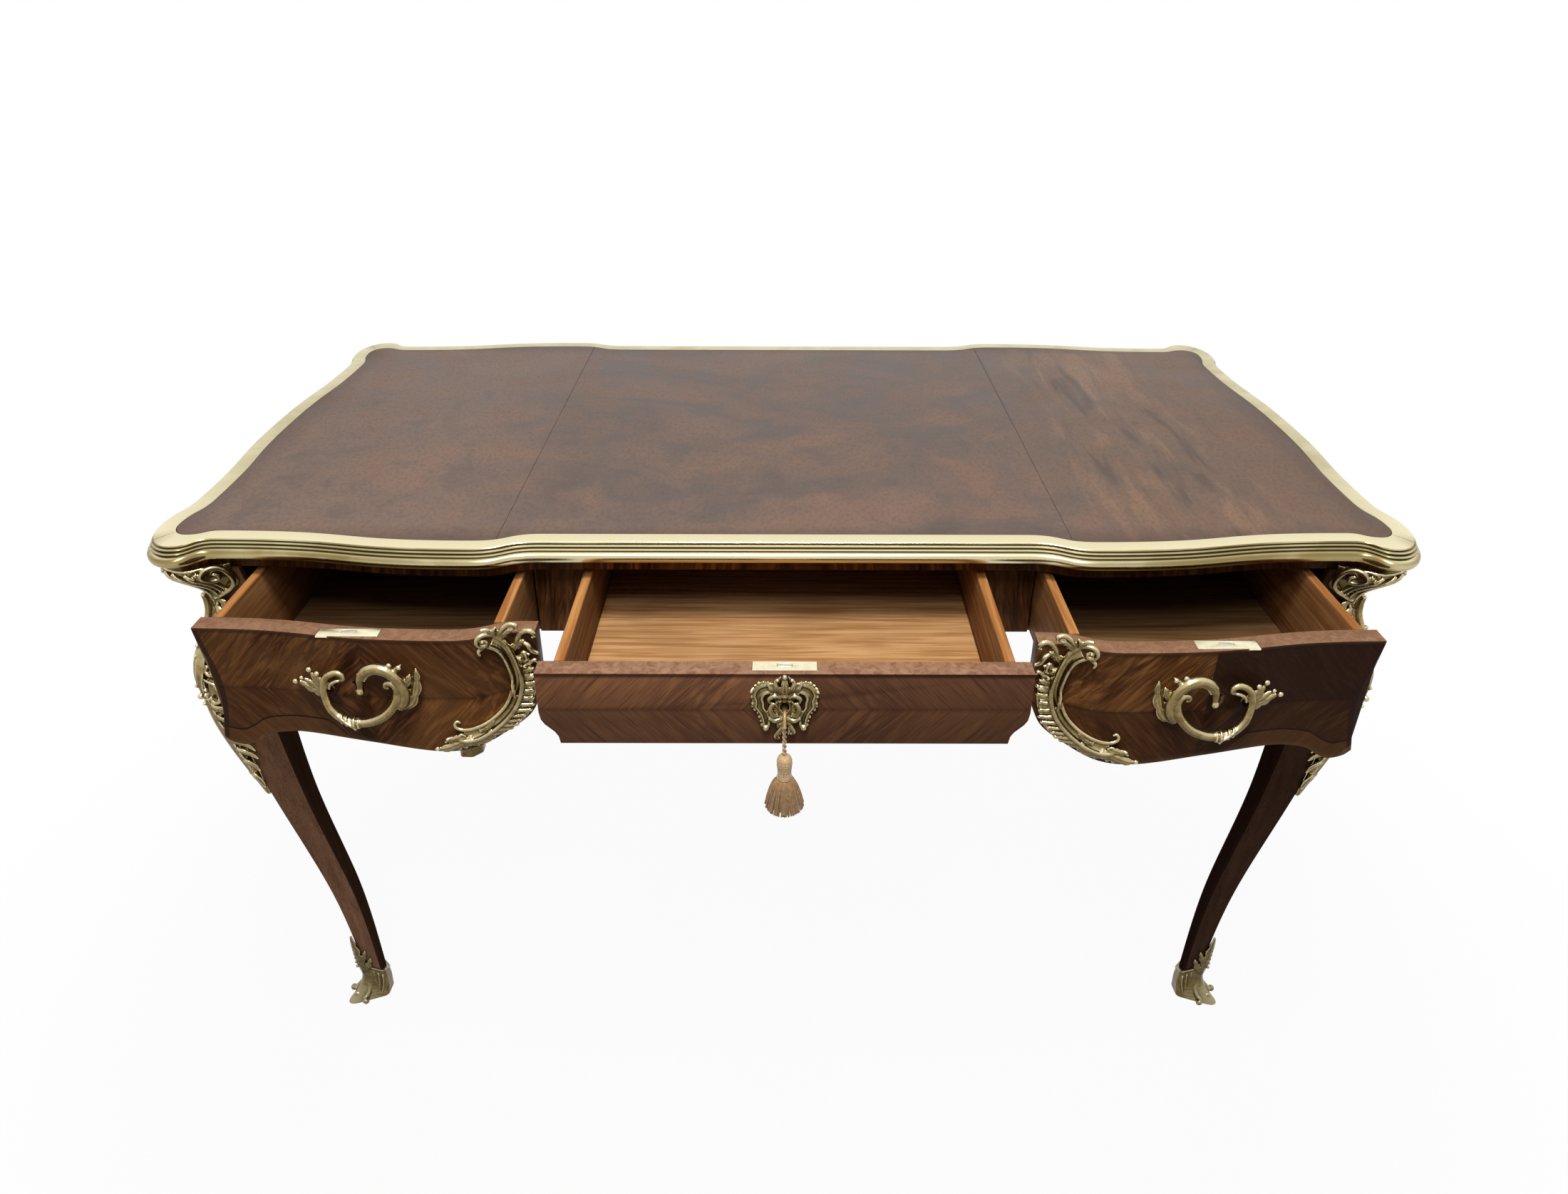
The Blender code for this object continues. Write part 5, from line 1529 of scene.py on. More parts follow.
@dataclass
class Casting:
    """A gilt casting built up over a surface from stems, leaves and ribbons, then fused and filed smooth.

    Every table is in millimetres: across, up and out from the surface.
    """

    name: str
    place: Placing
    grain: float = 0.00075
    stems: list = field(default_factory=list)
    parts: list = field(default_factory=list)
    ribbon_rows: int = 48
    flute_reach: tuple[float, float, float] = (0.66, 0.34, 2.4)

    def stem(self, keys: Table, *radii: float, steps: int = 5) -> None:
        """Lay a round stem through points.

        Args:
            keys: points of its middle line.
            radii: its radii, spread evenly along it.
            steps: points in every span.
        """
        path = through(keys, steps)
        girth = np.interp(np.linspace(0, 1, len(path)), np.linspace(0, 1, len(radii)), radii)
        self.stems.append(([self.place(*point) for point in path], girth * MM))

    def pair(self, keys: Table, *radii: float) -> None:
        """Lay a stem and its mirror image about the middle line."""
        self.stem(keys, *radii)
        self.stem([(-u, v, out) for u, v, out in keys], *radii)

    def bead(self, across: float, up: float, out: float, radius: float) -> None:
        """Set a ball.

        Args:
            across: its place across.
            up: its height.
            out: its middle's distance from the surface.
            radius: its radius.
        """
        rise = np.linspace(-0.98, 0.98, 7)
        path = [self.place(across, up, out + radius * share) for share in rise]
        self.stems.append((path, radius * MM * np.sqrt(1.0 - rise**2)))

    def leaf(self, spine: Table, width: float, lobes: float = 3.5, fat: float = 2.2) -> None:
        """Lay an acanthus leaf.

        Args:
            spine: points from its root to its curled tip.
            width: half its width.
            lobes: notches along each side.
            fat: its thickness.
        """
        path = through(spine, 7)
        ahead = np.gradient(path[:, :2], axis=0)
        ahead /= np.maximum(np.linalg.norm(ahead, axis=1), 1e-6)[:, None]
        sweep = np.linspace(-1.0, 1.0, 11)
        rows = []
        for (u, v, out), (du, dv), t in zip(path, ahead, np.linspace(0.0, 1.0, len(path))):
            notch = 0.70 + 0.30 * abs(cos(pi * lobes * t)) if lobes else 1.0
            half = width * max(0.10, sin(pi * (0.16 + 0.82 * t)) ** 0.75) * notch
            rib = fat * (0.45 + 0.55 * sin(pi * (0.15 + 0.75 * t)))
            upper = [
                (u - dv * half * w, v + du * half * w,
                 out + rib * (0.30 + 0.70 * (1 - w * w)) * (1 - 0.22 * cos(3 * pi * w)))
                for w in sweep
            ]
            lower = [(u - dv * half * w, v + du * half * w, out - fat * 0.5) for w in sweep[::-1]]
            rows.append([self.place(*point) for point in upper + lower])
        self.parts.append(skin("leaf", rows, ring=True, capped=True))

    def leaf_pair(self, spine: Table, width: float, lobes: float = 3.5, fat: float = 2.2) -> None:
        """Lay a leaf and its mirror image about the middle line."""
        self.leaf(spine, width, lobes, fat)
        self.leaf([(-u, v, out) for u, v, out in spine], width, lobes, fat)

    def ribbon(self, first: Table, second: Table, outs: Sequence[float], under: float = 0.4) -> None:
        """Fill the space between two lines.

        Args:
            first: points of one line.
            second: points of the other line.
            outs: heights over the surface from the first line to the second.
            under: height of the underside.
        """
        lines = [spaced(keys, self.ribbon_rows) for keys in (first, second)]
        shares = np.linspace(0.0, 1.0, len(outs))
        rows = []
        for a, b in zip(*lines):
            upper = [(*(a + (b - a) * share), out) for share, out in zip(shares, outs)]
            lower = [(*b, under), (*a, under)]
            rows.append([self.place(*point) for point in upper + lower])
        self.parts.append(skin("ribbon", rows, ring=True, capped=True))

    def fringe(self, root: Table, rim: Table, count: int, radii: tuple[float, float],
               outs: tuple[float, float]) -> None:
        """Lay a row of flutes between two lines, of changing lengths, each with a knob at its end.

        Args:
            root: the line where they start.
            rim: the line that they reach for.
            count: their number.
            radii: their radii at root and tip.
            outs: their distances from the surface at root and tip.
        """
        lines = [spaced(keys, count) for keys in (root, rim)]
        shortest, longer, beat = self.flute_reach
        for index, (a, b) in enumerate(zip(*lines)):
            tip = a + (b - a) * (shortest + longer * abs(sin(beat * index)))
            middle = (a + tip) / 2.0
            keys = ((*a, outs[0]), (*middle, (outs[0] + outs[1]) / 2.0 + 1.0), (*tip, outs[1]))
            self.stem(keys, radii[0], radii[0] * 0.85, radii[1], steps=3)
            self.bead(*tip, outs[1], radii[1] * 1.15)

    def wires(self) -> Piece:
        """All stems as one mesh.

        Returns:
            The mesh.
        """
        bpy.ops.object.select_all(action="DESELECT")
        bpy.ops.curve.primitive_bezier_curve_add()
        wire = bpy.context.object
        curve = wire.data
        curve.splines.clear()
        curve.bevel_depth = 1.0
        curve.bevel_resolution = 3
        curve.use_fill_caps = True
        for path, girth in self.stems:
            spline = curve.splines.new("POLY")
            spline.points.add(len(path) - 1)
            for knot, point, radius in zip(spline.points, path, girth):
                knot.co = (*point, 1.0)
                knot.radius = radius
        bpy.ops.object.convert(target="MESH")
        return bpy.context.object

    def fuse(self) -> Piece:
        """Join all parts into one skin and file it smooth.

        Returns:
            The casting.
        """
        whole = joined(self.name, [self.wires(), *self.parts])
        modified(whole, "REMESH", mode="VOXEL", voxel_size=self.grain)
        modified(whole, "SMOOTH", factor=0.5, iterations=2)
        only(whole)
        bpy.ops.object.shade_smooth()
        return whole


@dataclass
class FrontMounts:
    """Handles and C-scrolls of the side fronts, and the centre escutcheon."""

    key: tuple[float, float] = (436.0, 670.9)
    centre_key: float = 689.9

    def over_key(self, across: float, up: float, out: float) -> Vector:
        """The place over the right front, in millimetres from its keyhole."""
        return RIGHT_FACE.at(self.key[0] + across, self.key[1] + up, out)

    def handle(self) -> Piece:
        """A cast handle: a bow with a ribbon, a scroll over the keyhole, and leaves at either end.

        Returns:
            The casting.
        """
        cast = Casting("gilt_handle_right", self.over_key)
        bow = ((12, 8.5, 9), (7.5, 10.5, 9.5), (6.5, 14.5, 10), (10.5, 17.8, 10.5), (16, 17.5, 11),
               (23, 13.2, 11.5), (27.8, 5.5, 12), (29.5, -3, 12.5), (29.2, -11, 13), (25.7, -23, 14.5),
               (17.5, -32.5, 15), (8.5, -36.8, 15), (1.5, -38, 15), (-13.5, -36.4, 15), (-31.5, -27.6, 15),
               (-44.5, -13.2, 14.5), (-49, 1.2, 13.5), (-47.5, 8.2, 13), (-43.5, 11, 12.5), (-38.3, 10, 12),
               (-37, 6.2, 11.5), (-40, 4.6, 11))
        cast.stem(bow, 2.4, 3.0, 3.5, 3.9, 4.1, 4.3, 4.5, 4.7, 4.9, 5.0, 5.0, 4.8, 4.3, 3.6, 3.0, 2.2)
        cast.stem(((23.5, -1, 12), (20.5, 5, 12.5), (15, 8.6, 12), (11.5, 9, 11)), 2.0, 2.2, 1.8)
        for across, up, size in ((14.2, -34.6, 5.0), (9.8, -36.4, 5.2), (1.5, -38, 6.2), (-2.6, -38, 5.2)):
            hoop = [(across, up + size * cos(a), 15 + size * sin(a)) for a in turns(12, True)]
            cast.stem(hoop, 1.3, steps=2)
        cast.stem(((18, -30, 18.6), (10, -35.5, 20.4), (2, -40.5, 20.6), (2.2, -45.0, 17)),
                  1.2, 1.6, 1.6, 2.0)
        scroll = ((-10.8, 1, 13), (-11.6, 8, 13), (-13.5, 16, 13.2), (-20, 24.5, 13.6), (-30, 28.8, 14),
                  (-40, 27, 14), (-48, 20.5, 13.5), (-53.2, 11, 13), (-55.5, -2, 12.5), (-53, -12, 13),
                  (-47, -17, 13.5))
        cast.stem(scroll, 3.0, 4.2, 5.4, 5.9, 5.9, 5.6, 5.2, 4.8, 4.2)
        cast.stem(((-14.5, 20, 16.5), (-22, 28, 17), (-31, 32, 17.2), (-41, 30, 17), (-49, 23, 16.5)),
                  1.0, 1.5, 1.5, 1.0)
        cast.stem(((-17.5, 14, 16), (-24, 22.5, 17), (-32, 25, 17.2), (-40, 22.5, 17), (-46, 16, 16)),
                  1.0, 1.4, 1.4, 1.0)
        cast.bead(-10.8, 0.5, 14, 4.3)
        for across, up, size in ((-45, 32, 3.0), (-54.5, 30, 3.0), (-50, 26.5, 2.8), (40.3, 20.4, 3.2),
                                 (32.6, 16.6, 3.0), (58.2, 4.4, 3.2), (50.5, 9.5, 2.4), (2.6, -45.8, 2.6)):
            cast.bead(across, up, 12.5, size)
        cast.leaf(((-47, -19, 12), (-58, -14.5, 10), (-65.5, 0, 9), (-69, 15, 9), (-71, 29, 11)), 6.0, 3.5)
        cast.leaf(((-52, 4, 12), (-59, 12, 11), (-64, 22, 11)), 4.2, 2.5)
        cast.leaf(((-46, 24, 12), (-52, 28, 12), (-57, 33, 11)), 3.4, 2.0)
        cast.leaf(((29, -8, 11.5), (38, -7, 10), (49, -2, 9), (58, 4, 10)), 6.0, 3.5)
        cast.leaf(((30, -2, 11.5), (36.5, 7, 10.5), (40, 18, 11)), 4.4, 2.5)
        cast.leaf(((29, 2, 12), (32, 9, 11.5), (32.6, 15, 12)), 3.4, 2.0)
        cast.leaf(((33, -4, 11), (43, 3, 10), (50, 8.5, 11)), 4.0, 2.5)
        for across, up, top in ((29, -8, 13), (-54, 4, 13)):
            cast.stem(((across, up, 0.3), (across, up, 3), (across, up, top)), 7.0, 4.6, 4.2)
        return cast.fuse()

    def scroll(self) -> Piece:
        """A C-scroll: two rims over a hollow, a leafy head, and a rocaille fringe.

        Returns:
            The casting.
        """
        cast = Casting("gilt_scroll_right", RIGHT_FACE.at, 0.0008)
        hook = ((303, 708, 6), (303.5, 713, 7), (299.5, 716.5, 8))
        inner = ((294, 716, 8), (284, 706.5, 8.2), (277.8, 687, 8.4), (276.8, 668, 8.4), (285, 646, 8.4),
                 (299.5, 631.5, 8.2), (318, 623.5, 7.6), (331, 622, 7))
        barb = ((337.5, 626, 6.4), (336, 631, 5.4), (332, 629.5, 4.8))
        volute = ((297.5, 724.5, 9), (294.8, 721.5, 9), (297.5, 718.8, 9), (302, 720.5, 9.2),
                  (303.5, 725.5, 9.6), (300.5, 730.4, 9.8), (294.5, 731.6, 9.8))
        outer = ((287, 728.4, 9.6), (277, 717.5, 9.6), (268.9, 692, 9.8), (267.4, 668, 9.8),
                 (275, 643.5, 9.6), (291, 623.5, 8.6), (313, 610.4, 7.6), (329, 607.4, 7.6))
        curl = ((335.5, 611, 7.2), (333, 615.6, 6.8), (328.5, 613.5, 6.2))
        cast.stem(hook + inner + barb, 2.0, 2.3, 2.3, 2.2, 2.2, 2.2, 2.2, 2.0, 1.5)
        cast.stem(volute + outer + curl, 1.8, 2.5, 2.7, 2.6, 2.6, 2.6, 2.6, 2.5, 2.2, 1.6)
        cast.bead(298.5, 724.2, 9.6, 2.2)
        cast.ribbon(inner, outer, (8.4, 6.4, 5.2, 4.8, 4.8, 5.4, 6.8, 9.4))
        rim = ((260, 700), (255.5, 684), (254.4, 670), (256, 655), (259.5, 643), (263.5, 633),
               (269.5, 623.2), (278, 616.2), (287, 611.2), (297, 607.2), (306, 604.2), (315, 601.6),
               (324, 599.6), (334, 597.6), (345, 596.2))
        root = ((269.5, 700), (267.6, 684), (267.2, 669), (269.5, 657), (274, 645), (281, 634.5),
                (289, 626), (297, 619.5), (305, 614.5), (313, 611), (320, 608.2), (327, 606.4),
                (333, 605.6), (340, 604), (347, 602))
        cast.ribbon(root, rim, (6.0, 4.6, 3.4, 2.6))
        cast.fringe(root, rim, 21, (2.5, 2.1), (6.4, 4.4))
        for spine, width in (
            (((284, 722, 8), (276, 731, 10.5), (267, 737, 12)), 4.2),
            (((286, 726, 9), (287, 733, 11), (284, 740, 12)), 3.6),
            (((273, 706, 6), (267, 716, 8.5), (259, 722, 10)), 5.0),
            (((270, 696, 5), (262, 703, 7.5), (255, 705, 9)), 4.4),
            (((268, 681, 5), (260, 684.5, 7), (253, 688.5, 8.5)), 4.4),
            (((268, 673, 5), (260, 674.5, 6.5), (253.5, 678, 7.5)), 3.8),
            (((322, 610, 6), (338, 603.5, 7), (351, 598.5, 7.5), (361, 598, 6.5)), 5.6),
            (((328, 611, 6), (341, 610.5, 7), (351, 606.5, 7.5)), 4.4),
            (((314, 618, 6), (304, 623.5, 8), (297, 631, 8.6)), 4.0),
            (((276, 652, 8), (276.5, 664, 9.5), (276, 677, 9)), 3.0),
        ):
            cast.leaf(spine, width, 3.0, 2.4)
        for curl, girth in (
            (((268, 712, 7.5), (266, 723, 10), (260, 731.5, 11.5), (252.5, 734, 12.5), (247.5, 730, 12.5),
              (250.5, 726, 12)), 2.7),
            (((263, 720, 9), (256, 716.5, 10.5), (251.5, 709.5, 11), (245.5, 707, 11)), 2.5),
            (((284, 727, 9.5), (279, 736, 11.5), (271, 741.5, 12.5), (264.5, 740, 13), (265, 735, 12.5)),
             2.6),
            (((288, 730, 10), (292, 737, 11.5), (298, 739, 12)), 2.2),
            (((268, 701, 6), (261.5, 707, 8.5), (258.5, 700, 9.5), (262, 696, 9)), 2.2),
            (((266, 690, 6), (258, 693, 8), (252, 698, 9), (247.5, 695, 9.5)), 2.3),
        ):
            cast.stem(curl, girth * 0.7, girth, girth, girth * 0.55)
        for across, up, size in ((262, 690, 2.6), (266, 699, 2.8), (252.5, 681, 2.2), (359, 599, 2.8),
                                 (347, 611, 2.2), (300, 629, 2.4)):
            cast.bead(across, up, 8.5, size)
        return cast.fuse()

    def escutcheon(self) -> Piece:
        """A pierced cartouche round the keyhole.

        Returns:
            The casting.
        """
        cast = Casting("gilt_escutcheon", CENTRE_FACE.at, 0.0007)
        z = self.centre_key
        ring = turns(20, True)
        cast.ribbon([(4.2 * cos(a), z + 4.6 * sin(a)) for a in ring],
                    [(8.8 * cos(a), z + 12.0 * sin(a)) for a in ring], (4.4, 5.2, 4.2, 3.4))
        cast.stem([(8.6 * cos(a), z + 11.8 * sin(a), 5.0) for a in ring], 1.5, steps=2)
        plate = ((3.6, 724), (9, 719), (12, 712), (10, 702), (9.5, 690), (10, 682), (8.5, 674), (7.5, 664),
                 (4.5, 656))
        for side in (-1.0, 1.0):
            cast.ribbon([(side * 3.4, up) for _, up in plate], [(side * reach, up) for reach, up in plate],
                        (2.8, 3.0, 2.4, 1.4))
        rim = ((11, 716), (20, 718.5), (28, 714.5), (31.5, 706), (29.5, 698), (30.5, 691), (25.5, 683.5),
               (22.5, 674), (20.5, 665))
        fold = ((9, 706), (14, 707.5), (19, 705.5), (21.5, 700.5), (20.5, 695), (20, 689.5), (16.5, 683.5),
                (15, 675.5), (15.5, 667))
        for side in (-1.0, 1.0):
            edge, inside = ([(side * u, v) for u, v in line] for line in (rim, fold))
            cast.ribbon(edge, inside, (2.6, 5.4, 6.4, 4.6, 3.8, 5.0, 3.0))
            for index, (u, v) in enumerate(through(edge, 2)):
                cast.bead(u, v, 3.6, 2.1 if index % 2 else 1.6)
            cast.stem([(u, v, 5.0) for u, v in inside], 1.2, 1.6, 1.6, 1.4, 1.6)
            cast.ribbon([(side * u, v) for u, v in ((5, 699), (9, 701), (13, 703), (19, 703))],
                        [(side * u, v) for u, v in ((5, 713), (11, 716), (18, 716), (26, 711))],
                        (3.4, 4.4, 4.6, 4.0))
            cast.stem(((side * 6, 682, 6), (side * 11, 683, 7.4), (side * 13.6, 690, 7.4),
                       (side * 10.5, 696, 7), (side * 7.5, 692, 6)),
                      2.0, 2.8, 2.8, 2.2, 1.6)
            cast.stem(((side * 4, 701, 6), (side * 9, 705, 7.6), (side * 14.5, 702, 7.4),
                       (side * 14, 697, 6.6)), 1.8, 2.6, 2.4, 1.7)
            cast.stem(((side * 3, 678, 5.6), (side * 9, 676, 6.6), (side * 15, 679, 6)), 2.2, 2.8, 2.2)
        cast.bead(0, 704.5, 4.4, 5.0)
        cast.leaf(((0, 701, 5), (0, 713, 7.2), (0, 725, 5)), 5.0, 2.5)
        cast.leaf_pair(((4, 706, 5), (8, 714.5, 6.8), (9.5, 721.5, 5.6)), 3.4, 2.5)
        cast.leaf_pair(((8, 707, 5), (13, 713, 6.4), (16.5, 718, 5.6)), 3.0, 2.0)
        cast.stem(((1, 680, 5), (-1.5, 670, 6), (-6, 662, 6.2), (-8.5, 657.5, 6), (-5, 655, 5.6)),
                  2.0, 2.5, 2.9, 2.4, 1.8)
        cast.stem(((2, 676, 5), (6.5, 668, 6), (9, 662.5, 5.8), (5.5, 660, 5.4)), 2.0, 2.4, 2.2, 1.6)
        for across, up, size in ((0, 724.6, 2.7), (-7, 721.2, 2.2), (7, 721.2, 2.2), (-13.5, 717.5, 2.2),
                                 (13.5, 717.5, 2.2), (-3.8, 672.5, 2.8), (4.4, 673, 2.8), (-18, 666.6, 3.3),
                                 (18.3, 667, 3.3), (-31.5, 709, 2.0), (31.5, 708, 2.0), (-4.5, 698, 2.2),
                                 (4.5, 698, 2.2)):
            cast.bead(across, up, 5.4, size)
        return cast.fuse()

    def build(self) -> None:
        """Make the mounts of all three fronts."""
        slide = RIGHT_FACE.opening - LEFT_FACE.opening
        for master, stem in ((self.handle(), "handle_"), (self.scroll(), "scroll_mount_")):
            left = mirrored(master, master.name.replace("_right", "_left"), -1, 1, slide)
            for piece, label in ((master, "right"), (left, "left")):
                fitted(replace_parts(piece, stem + label), "drawer_" + label, GILT)
        fitted(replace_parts(self.escutcheon(), "escutcheon"), "drawer_centre", GILT_SHIELD)


@dataclass
class LegMounts:
    """Corner mounts on the knees, and sabots on the feet."""

    head_top: float = 728.6
    flare: float = 26.0
    flare_drop: float = 65.0
    flare_flat: float = 13.0
    flare_fade: float = 34.0
    sabot_wall: float = 0.0034
    sabot_heights: tuple[float, float] = (0.033, 0.058)
    sabot_arc: int = 16
    scallop: tuple[float, float] = (0.004, 2.2)
    swell: tuple[float, float] = (0.35, 0.5)
    toe_kick: float = 0.016

    def over_corner(self, across: float, up: float, out: float) -> Vector:
        """The place over a leg's corner, pushed out by the mount's flared head.

        Args:
            across: distance round the corner.
            up: height over the floor.
            out: distance out from the surface.

        Returns:
            The place in metres.
        """
        fallen = min(1.0, max(0.0, self.head_top - up) / self.flare_drop)
        along = max(0.0, 1.0 - max(0.0, abs(across) - self.flare_flat) / self.flare_fade)
        flare = self.flare * (1.0 - fallen) ** 2 * along * min(1.0, out / 2.0)
        return LEG.at(across, up, out + flare)

    def corner(self) -> Piece:
        """A flared shell head between volutes, a stem, a knobbed knee and a falling acanthus.

        Returns:
            The casting.
        """
        cast = Casting("gilt_corner_mount", self.over_corner, 0.00098)
        half = ((44, 736), (44, 718), (36, 704), (22, 691), (13, 680), (11.5, 662), (13, 645), (22, 628),
                (25, 606), (22, 580), (19, 555), (17, 530), (16, 505), (13, 480), (9.5, 450), (5.5, 425),
                (1.5, 402))
        cast.ribbon([(-s, z) for s, z in half], half, (0.9, 2.4, 3.4, 3.8, 3.4, 2.4, 0.9), 0.2)
        cast.pair(((9, 690, 4.4), (20, 697, 5.4), (33, 706, 6), (41.5, 717, 6.4), (42.5, 728, 6.6),
                   (36, 736.5, 6.6), (27, 737, 6.6), (21.5, 730, 6.4), (24, 721.5, 6), (31, 720.5, 5.6),
                   (34, 726.5, 5.2), (30.5, 730.5, 5)),
                  1.8, 2.6, 3.0, 3.2, 3.2, 3.0, 2.8, 2.4, 1.8)
        for start, end in (((24, 700), (17, 735)), ((18.5, 694), (11.5, 735)), ((13, 689), (6, 735)),
                           ((7, 685), (1.5, 735))):
            middle = (start[0] * 0.62 + end[0] * 0.38 + 1.5, start[1] * 0.45 + end[1] * 0.55)
            cast.pair(((*start, 4.0), (*middle, 5.0), (*end, 5.2)), 1.5, 2.2, 2.5)
        cast.pair(((40, 738, 4.0), (20, 739, 5.0), (0, 739, 5.4)), 1.7, 1.9, 1.9)
        cast.leaf_pair(((11, 690, 4), (19, 681, 6), (24, 670, 4.6)), 4.6, 3.0)
        cast.leaf_pair(((8, 680, 4), (13, 671, 5.6), (17, 661, 4.2)), 3.8, 3.0)
        cast.stem(((0, 694, 6), (0, 680, 6.2), (0, 664, 6), (0, 648, 7)), 3.6, 4.4, 4.0, 4.4)
        cast.pair(((11, 690, 3.6), (8.5, 676, 4), (8.5, 660, 4.2), (13, 645, 5)), 1.5, 1.9, 1.9, 2.2)
        cast.leaf(((0, 645, 6), (0, 622, 8.5), (0, 598, 9), (0, 572, 7)), 9.0, 0.0, 3.2)
        cast.pair(((5, 650, 6.5), (14, 644, 7.5), (20.5, 630, 8), (20.5, 613, 8), (14.5, 602, 7.6),
                   (9.5, 606, 7), (11, 613, 6.6)), 2.0, 2.6, 2.6, 2.2, 1.5)
        cast.pair(((8, 594, 6.5), (17, 590, 7.2), (21, 578, 7.2), (17, 566, 7), (10.5, 566, 6.6),
                   (10.5, 573, 6)),
                  1.8, 2.4, 2.2, 1.5)
        for across, up, out, size in ((0, 647, 11, 4.2), (8, 651, 9, 3.0), (-8, 651, 9, 3.0),
                                      (0, 634, 12, 2.6), (0, 622, 12.4, 2.2), (22, 637, 8, 2.6),
                                      (-22, 637, 8, 2.6), (0, 570, 10.5, 3.8), (9, 583, 9, 2.4),
                                      (-9, 583, 9, 2.4), (0, 585, 12, 2.4), (23, 597, 7, 2.4),
                                      (-23, 597, 7, 2.4), (0, 559, 10, 2.4)):
            cast.bead(across, up, out, size)
        cast.leaf(((0, 566, 6), (0, 520, 7), (0, 460, 6), (0, 403, 3)), 8.0, 6.5, 2.8)
        for drop, reach, fall, width in ((556, 31, 8, 5.0), (540, 33, 20, 5.2), (522, 29, 22, 5.0)):
            cast.leaf_pair(((4, drop, 5), (reach * 0.55, drop - fall * 0.25, 6), (reach, drop - fall, 3.4)),
                           width, 2.0)
        for spine in (((3, 506, 5), (13, 503, 6.4), (21, 496, 5.6), (25, 486, 4)),
                      ((3, 489, 5), (11, 487, 6.4), (18, 481, 5.6), (22, 472, 4)),
                      ((2, 470, 5), (8, 467, 6.2), (12, 461, 5.4), (14, 450, 3.6)),
                      ((1.5, 446, 5), (5, 440, 6), (6.5, 431, 5), (6, 419, 3.4))):
            cast.leaf_pair(spine, 4.3, 0.0, 3.0)
        return cast.fuse()

    def sabot_ring(self, share: float) -> list[Vector]:
        """Points round the foot at a share of the sabot's height.

        Args:
            share: 0 at the floor and 1 at the rim.

        Returns:
            The points.
        """
        low, high = self.sabot_heights
        rise, waves = self.scallop
        belly, heel = self.swell
        base = LEG.section(0.0, self.sabot_arc)
        forward = np.array([x + y for x, y in base])
        forward = (forward - forward.min()) / (forward.max() - forward.min())
        ring = []
        for index, ahead in enumerate(forward):
            scallop = rise * abs(sin(waves * pi * ahead))
            height = (low + (high - low) * ahead + scallop) * share
            section = np.array(LEG.section(max(height, 0.0), self.sabot_arc))
            middle = section.mean(axis=0)
            away = section[index] - middle
            away /= np.linalg.norm(away)
            wall = self.sabot_wall * (1.0 + belly * sin(pi * share) + heel * (1.0 - share) ** 3)
            kick = self.toe_kick * ahead**3 * (1.0 - share) ** 4
            x, y = section[index] + away * wall + np.array((kick, kick))
            ring.append(Vector((x, PLAN.centring - y, max(height, 0.0002))))
        return ring

    def sabot(self) -> Piece:
        """A cup with a scalloped rim, a berried leaf up the corner, and a scrolled toe.

        Returns:
            The casting.
        """
        cast = Casting("gilt_sabot", LEG.at, 0.0008)
        rows = [self.sabot_ring(share) for share in np.linspace(0.0, 1.0, 12)]
        cast.parts.append(skin("sabot_cup", rows, ring=True, capped=True))
        rim = rows[-1]
        cast.stems.append((rim + [rim[0]], np.full(len(rim) + 1, 0.0016)))
        cast.leaf(((0, 34, 3), (0, 62, 5), (0, 92, 4.6), (0, 116, 3)), 8.0, 4.5, 2.6)
        cast.leaf_pair(((6, 46, 3), (12, 62, 4), (17, 74, 2.8)), 4.4, 2.5)
        cast.leaf_pair(((4, 62, 3.4), (9, 78, 4.4), (13, 90, 3)), 3.8, 2.5)
        for index, up in enumerate((58, 66, 74, 82, 90, 97)):
            cast.bead(0, up, 8.6 - 0.5 * index, 2.4 - 0.2 * index)
        cast.pair(((3, 30, 3.4), (6, 21, 5), (7, 12, 9), (5.5, 5.6, 15)), 2.0, 2.6, 3.0, 3.6)
        cast.pair(((12, 36, 2.0), (16, 26, 2.2), (14, 16, 2.8), (10, 11, 4.4)), 1.4, 1.8, 1.7, 1.4)
        for across, top in ((14, 45), (19.5, 41), (25, 37)):
            cast.pair(((across, 3, 4.2), (across, top * 0.45, 3.6), (across + 1, top, 3.0)), 1.5, 1.7, 1.2)
        for across in (-7, 7):
            cast.bead(across, 5.4, 17.5, 4.9)
        cast.bead(0, 9, 15, 3.6)
        return cast.fuse()

    def build(self) -> None:
        """Make both mounts once and copy them to the four corners."""
        for master, stem, gilt in ((self.corner(), "corner_mount_", GILT),
                                   (self.sabot(), "sabot_", GILT_FOOT)):
            for node, piece in at_corners(stem, master, master.name + "_"):
                fitted(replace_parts(piece, node), "table", gilt)


# Studio


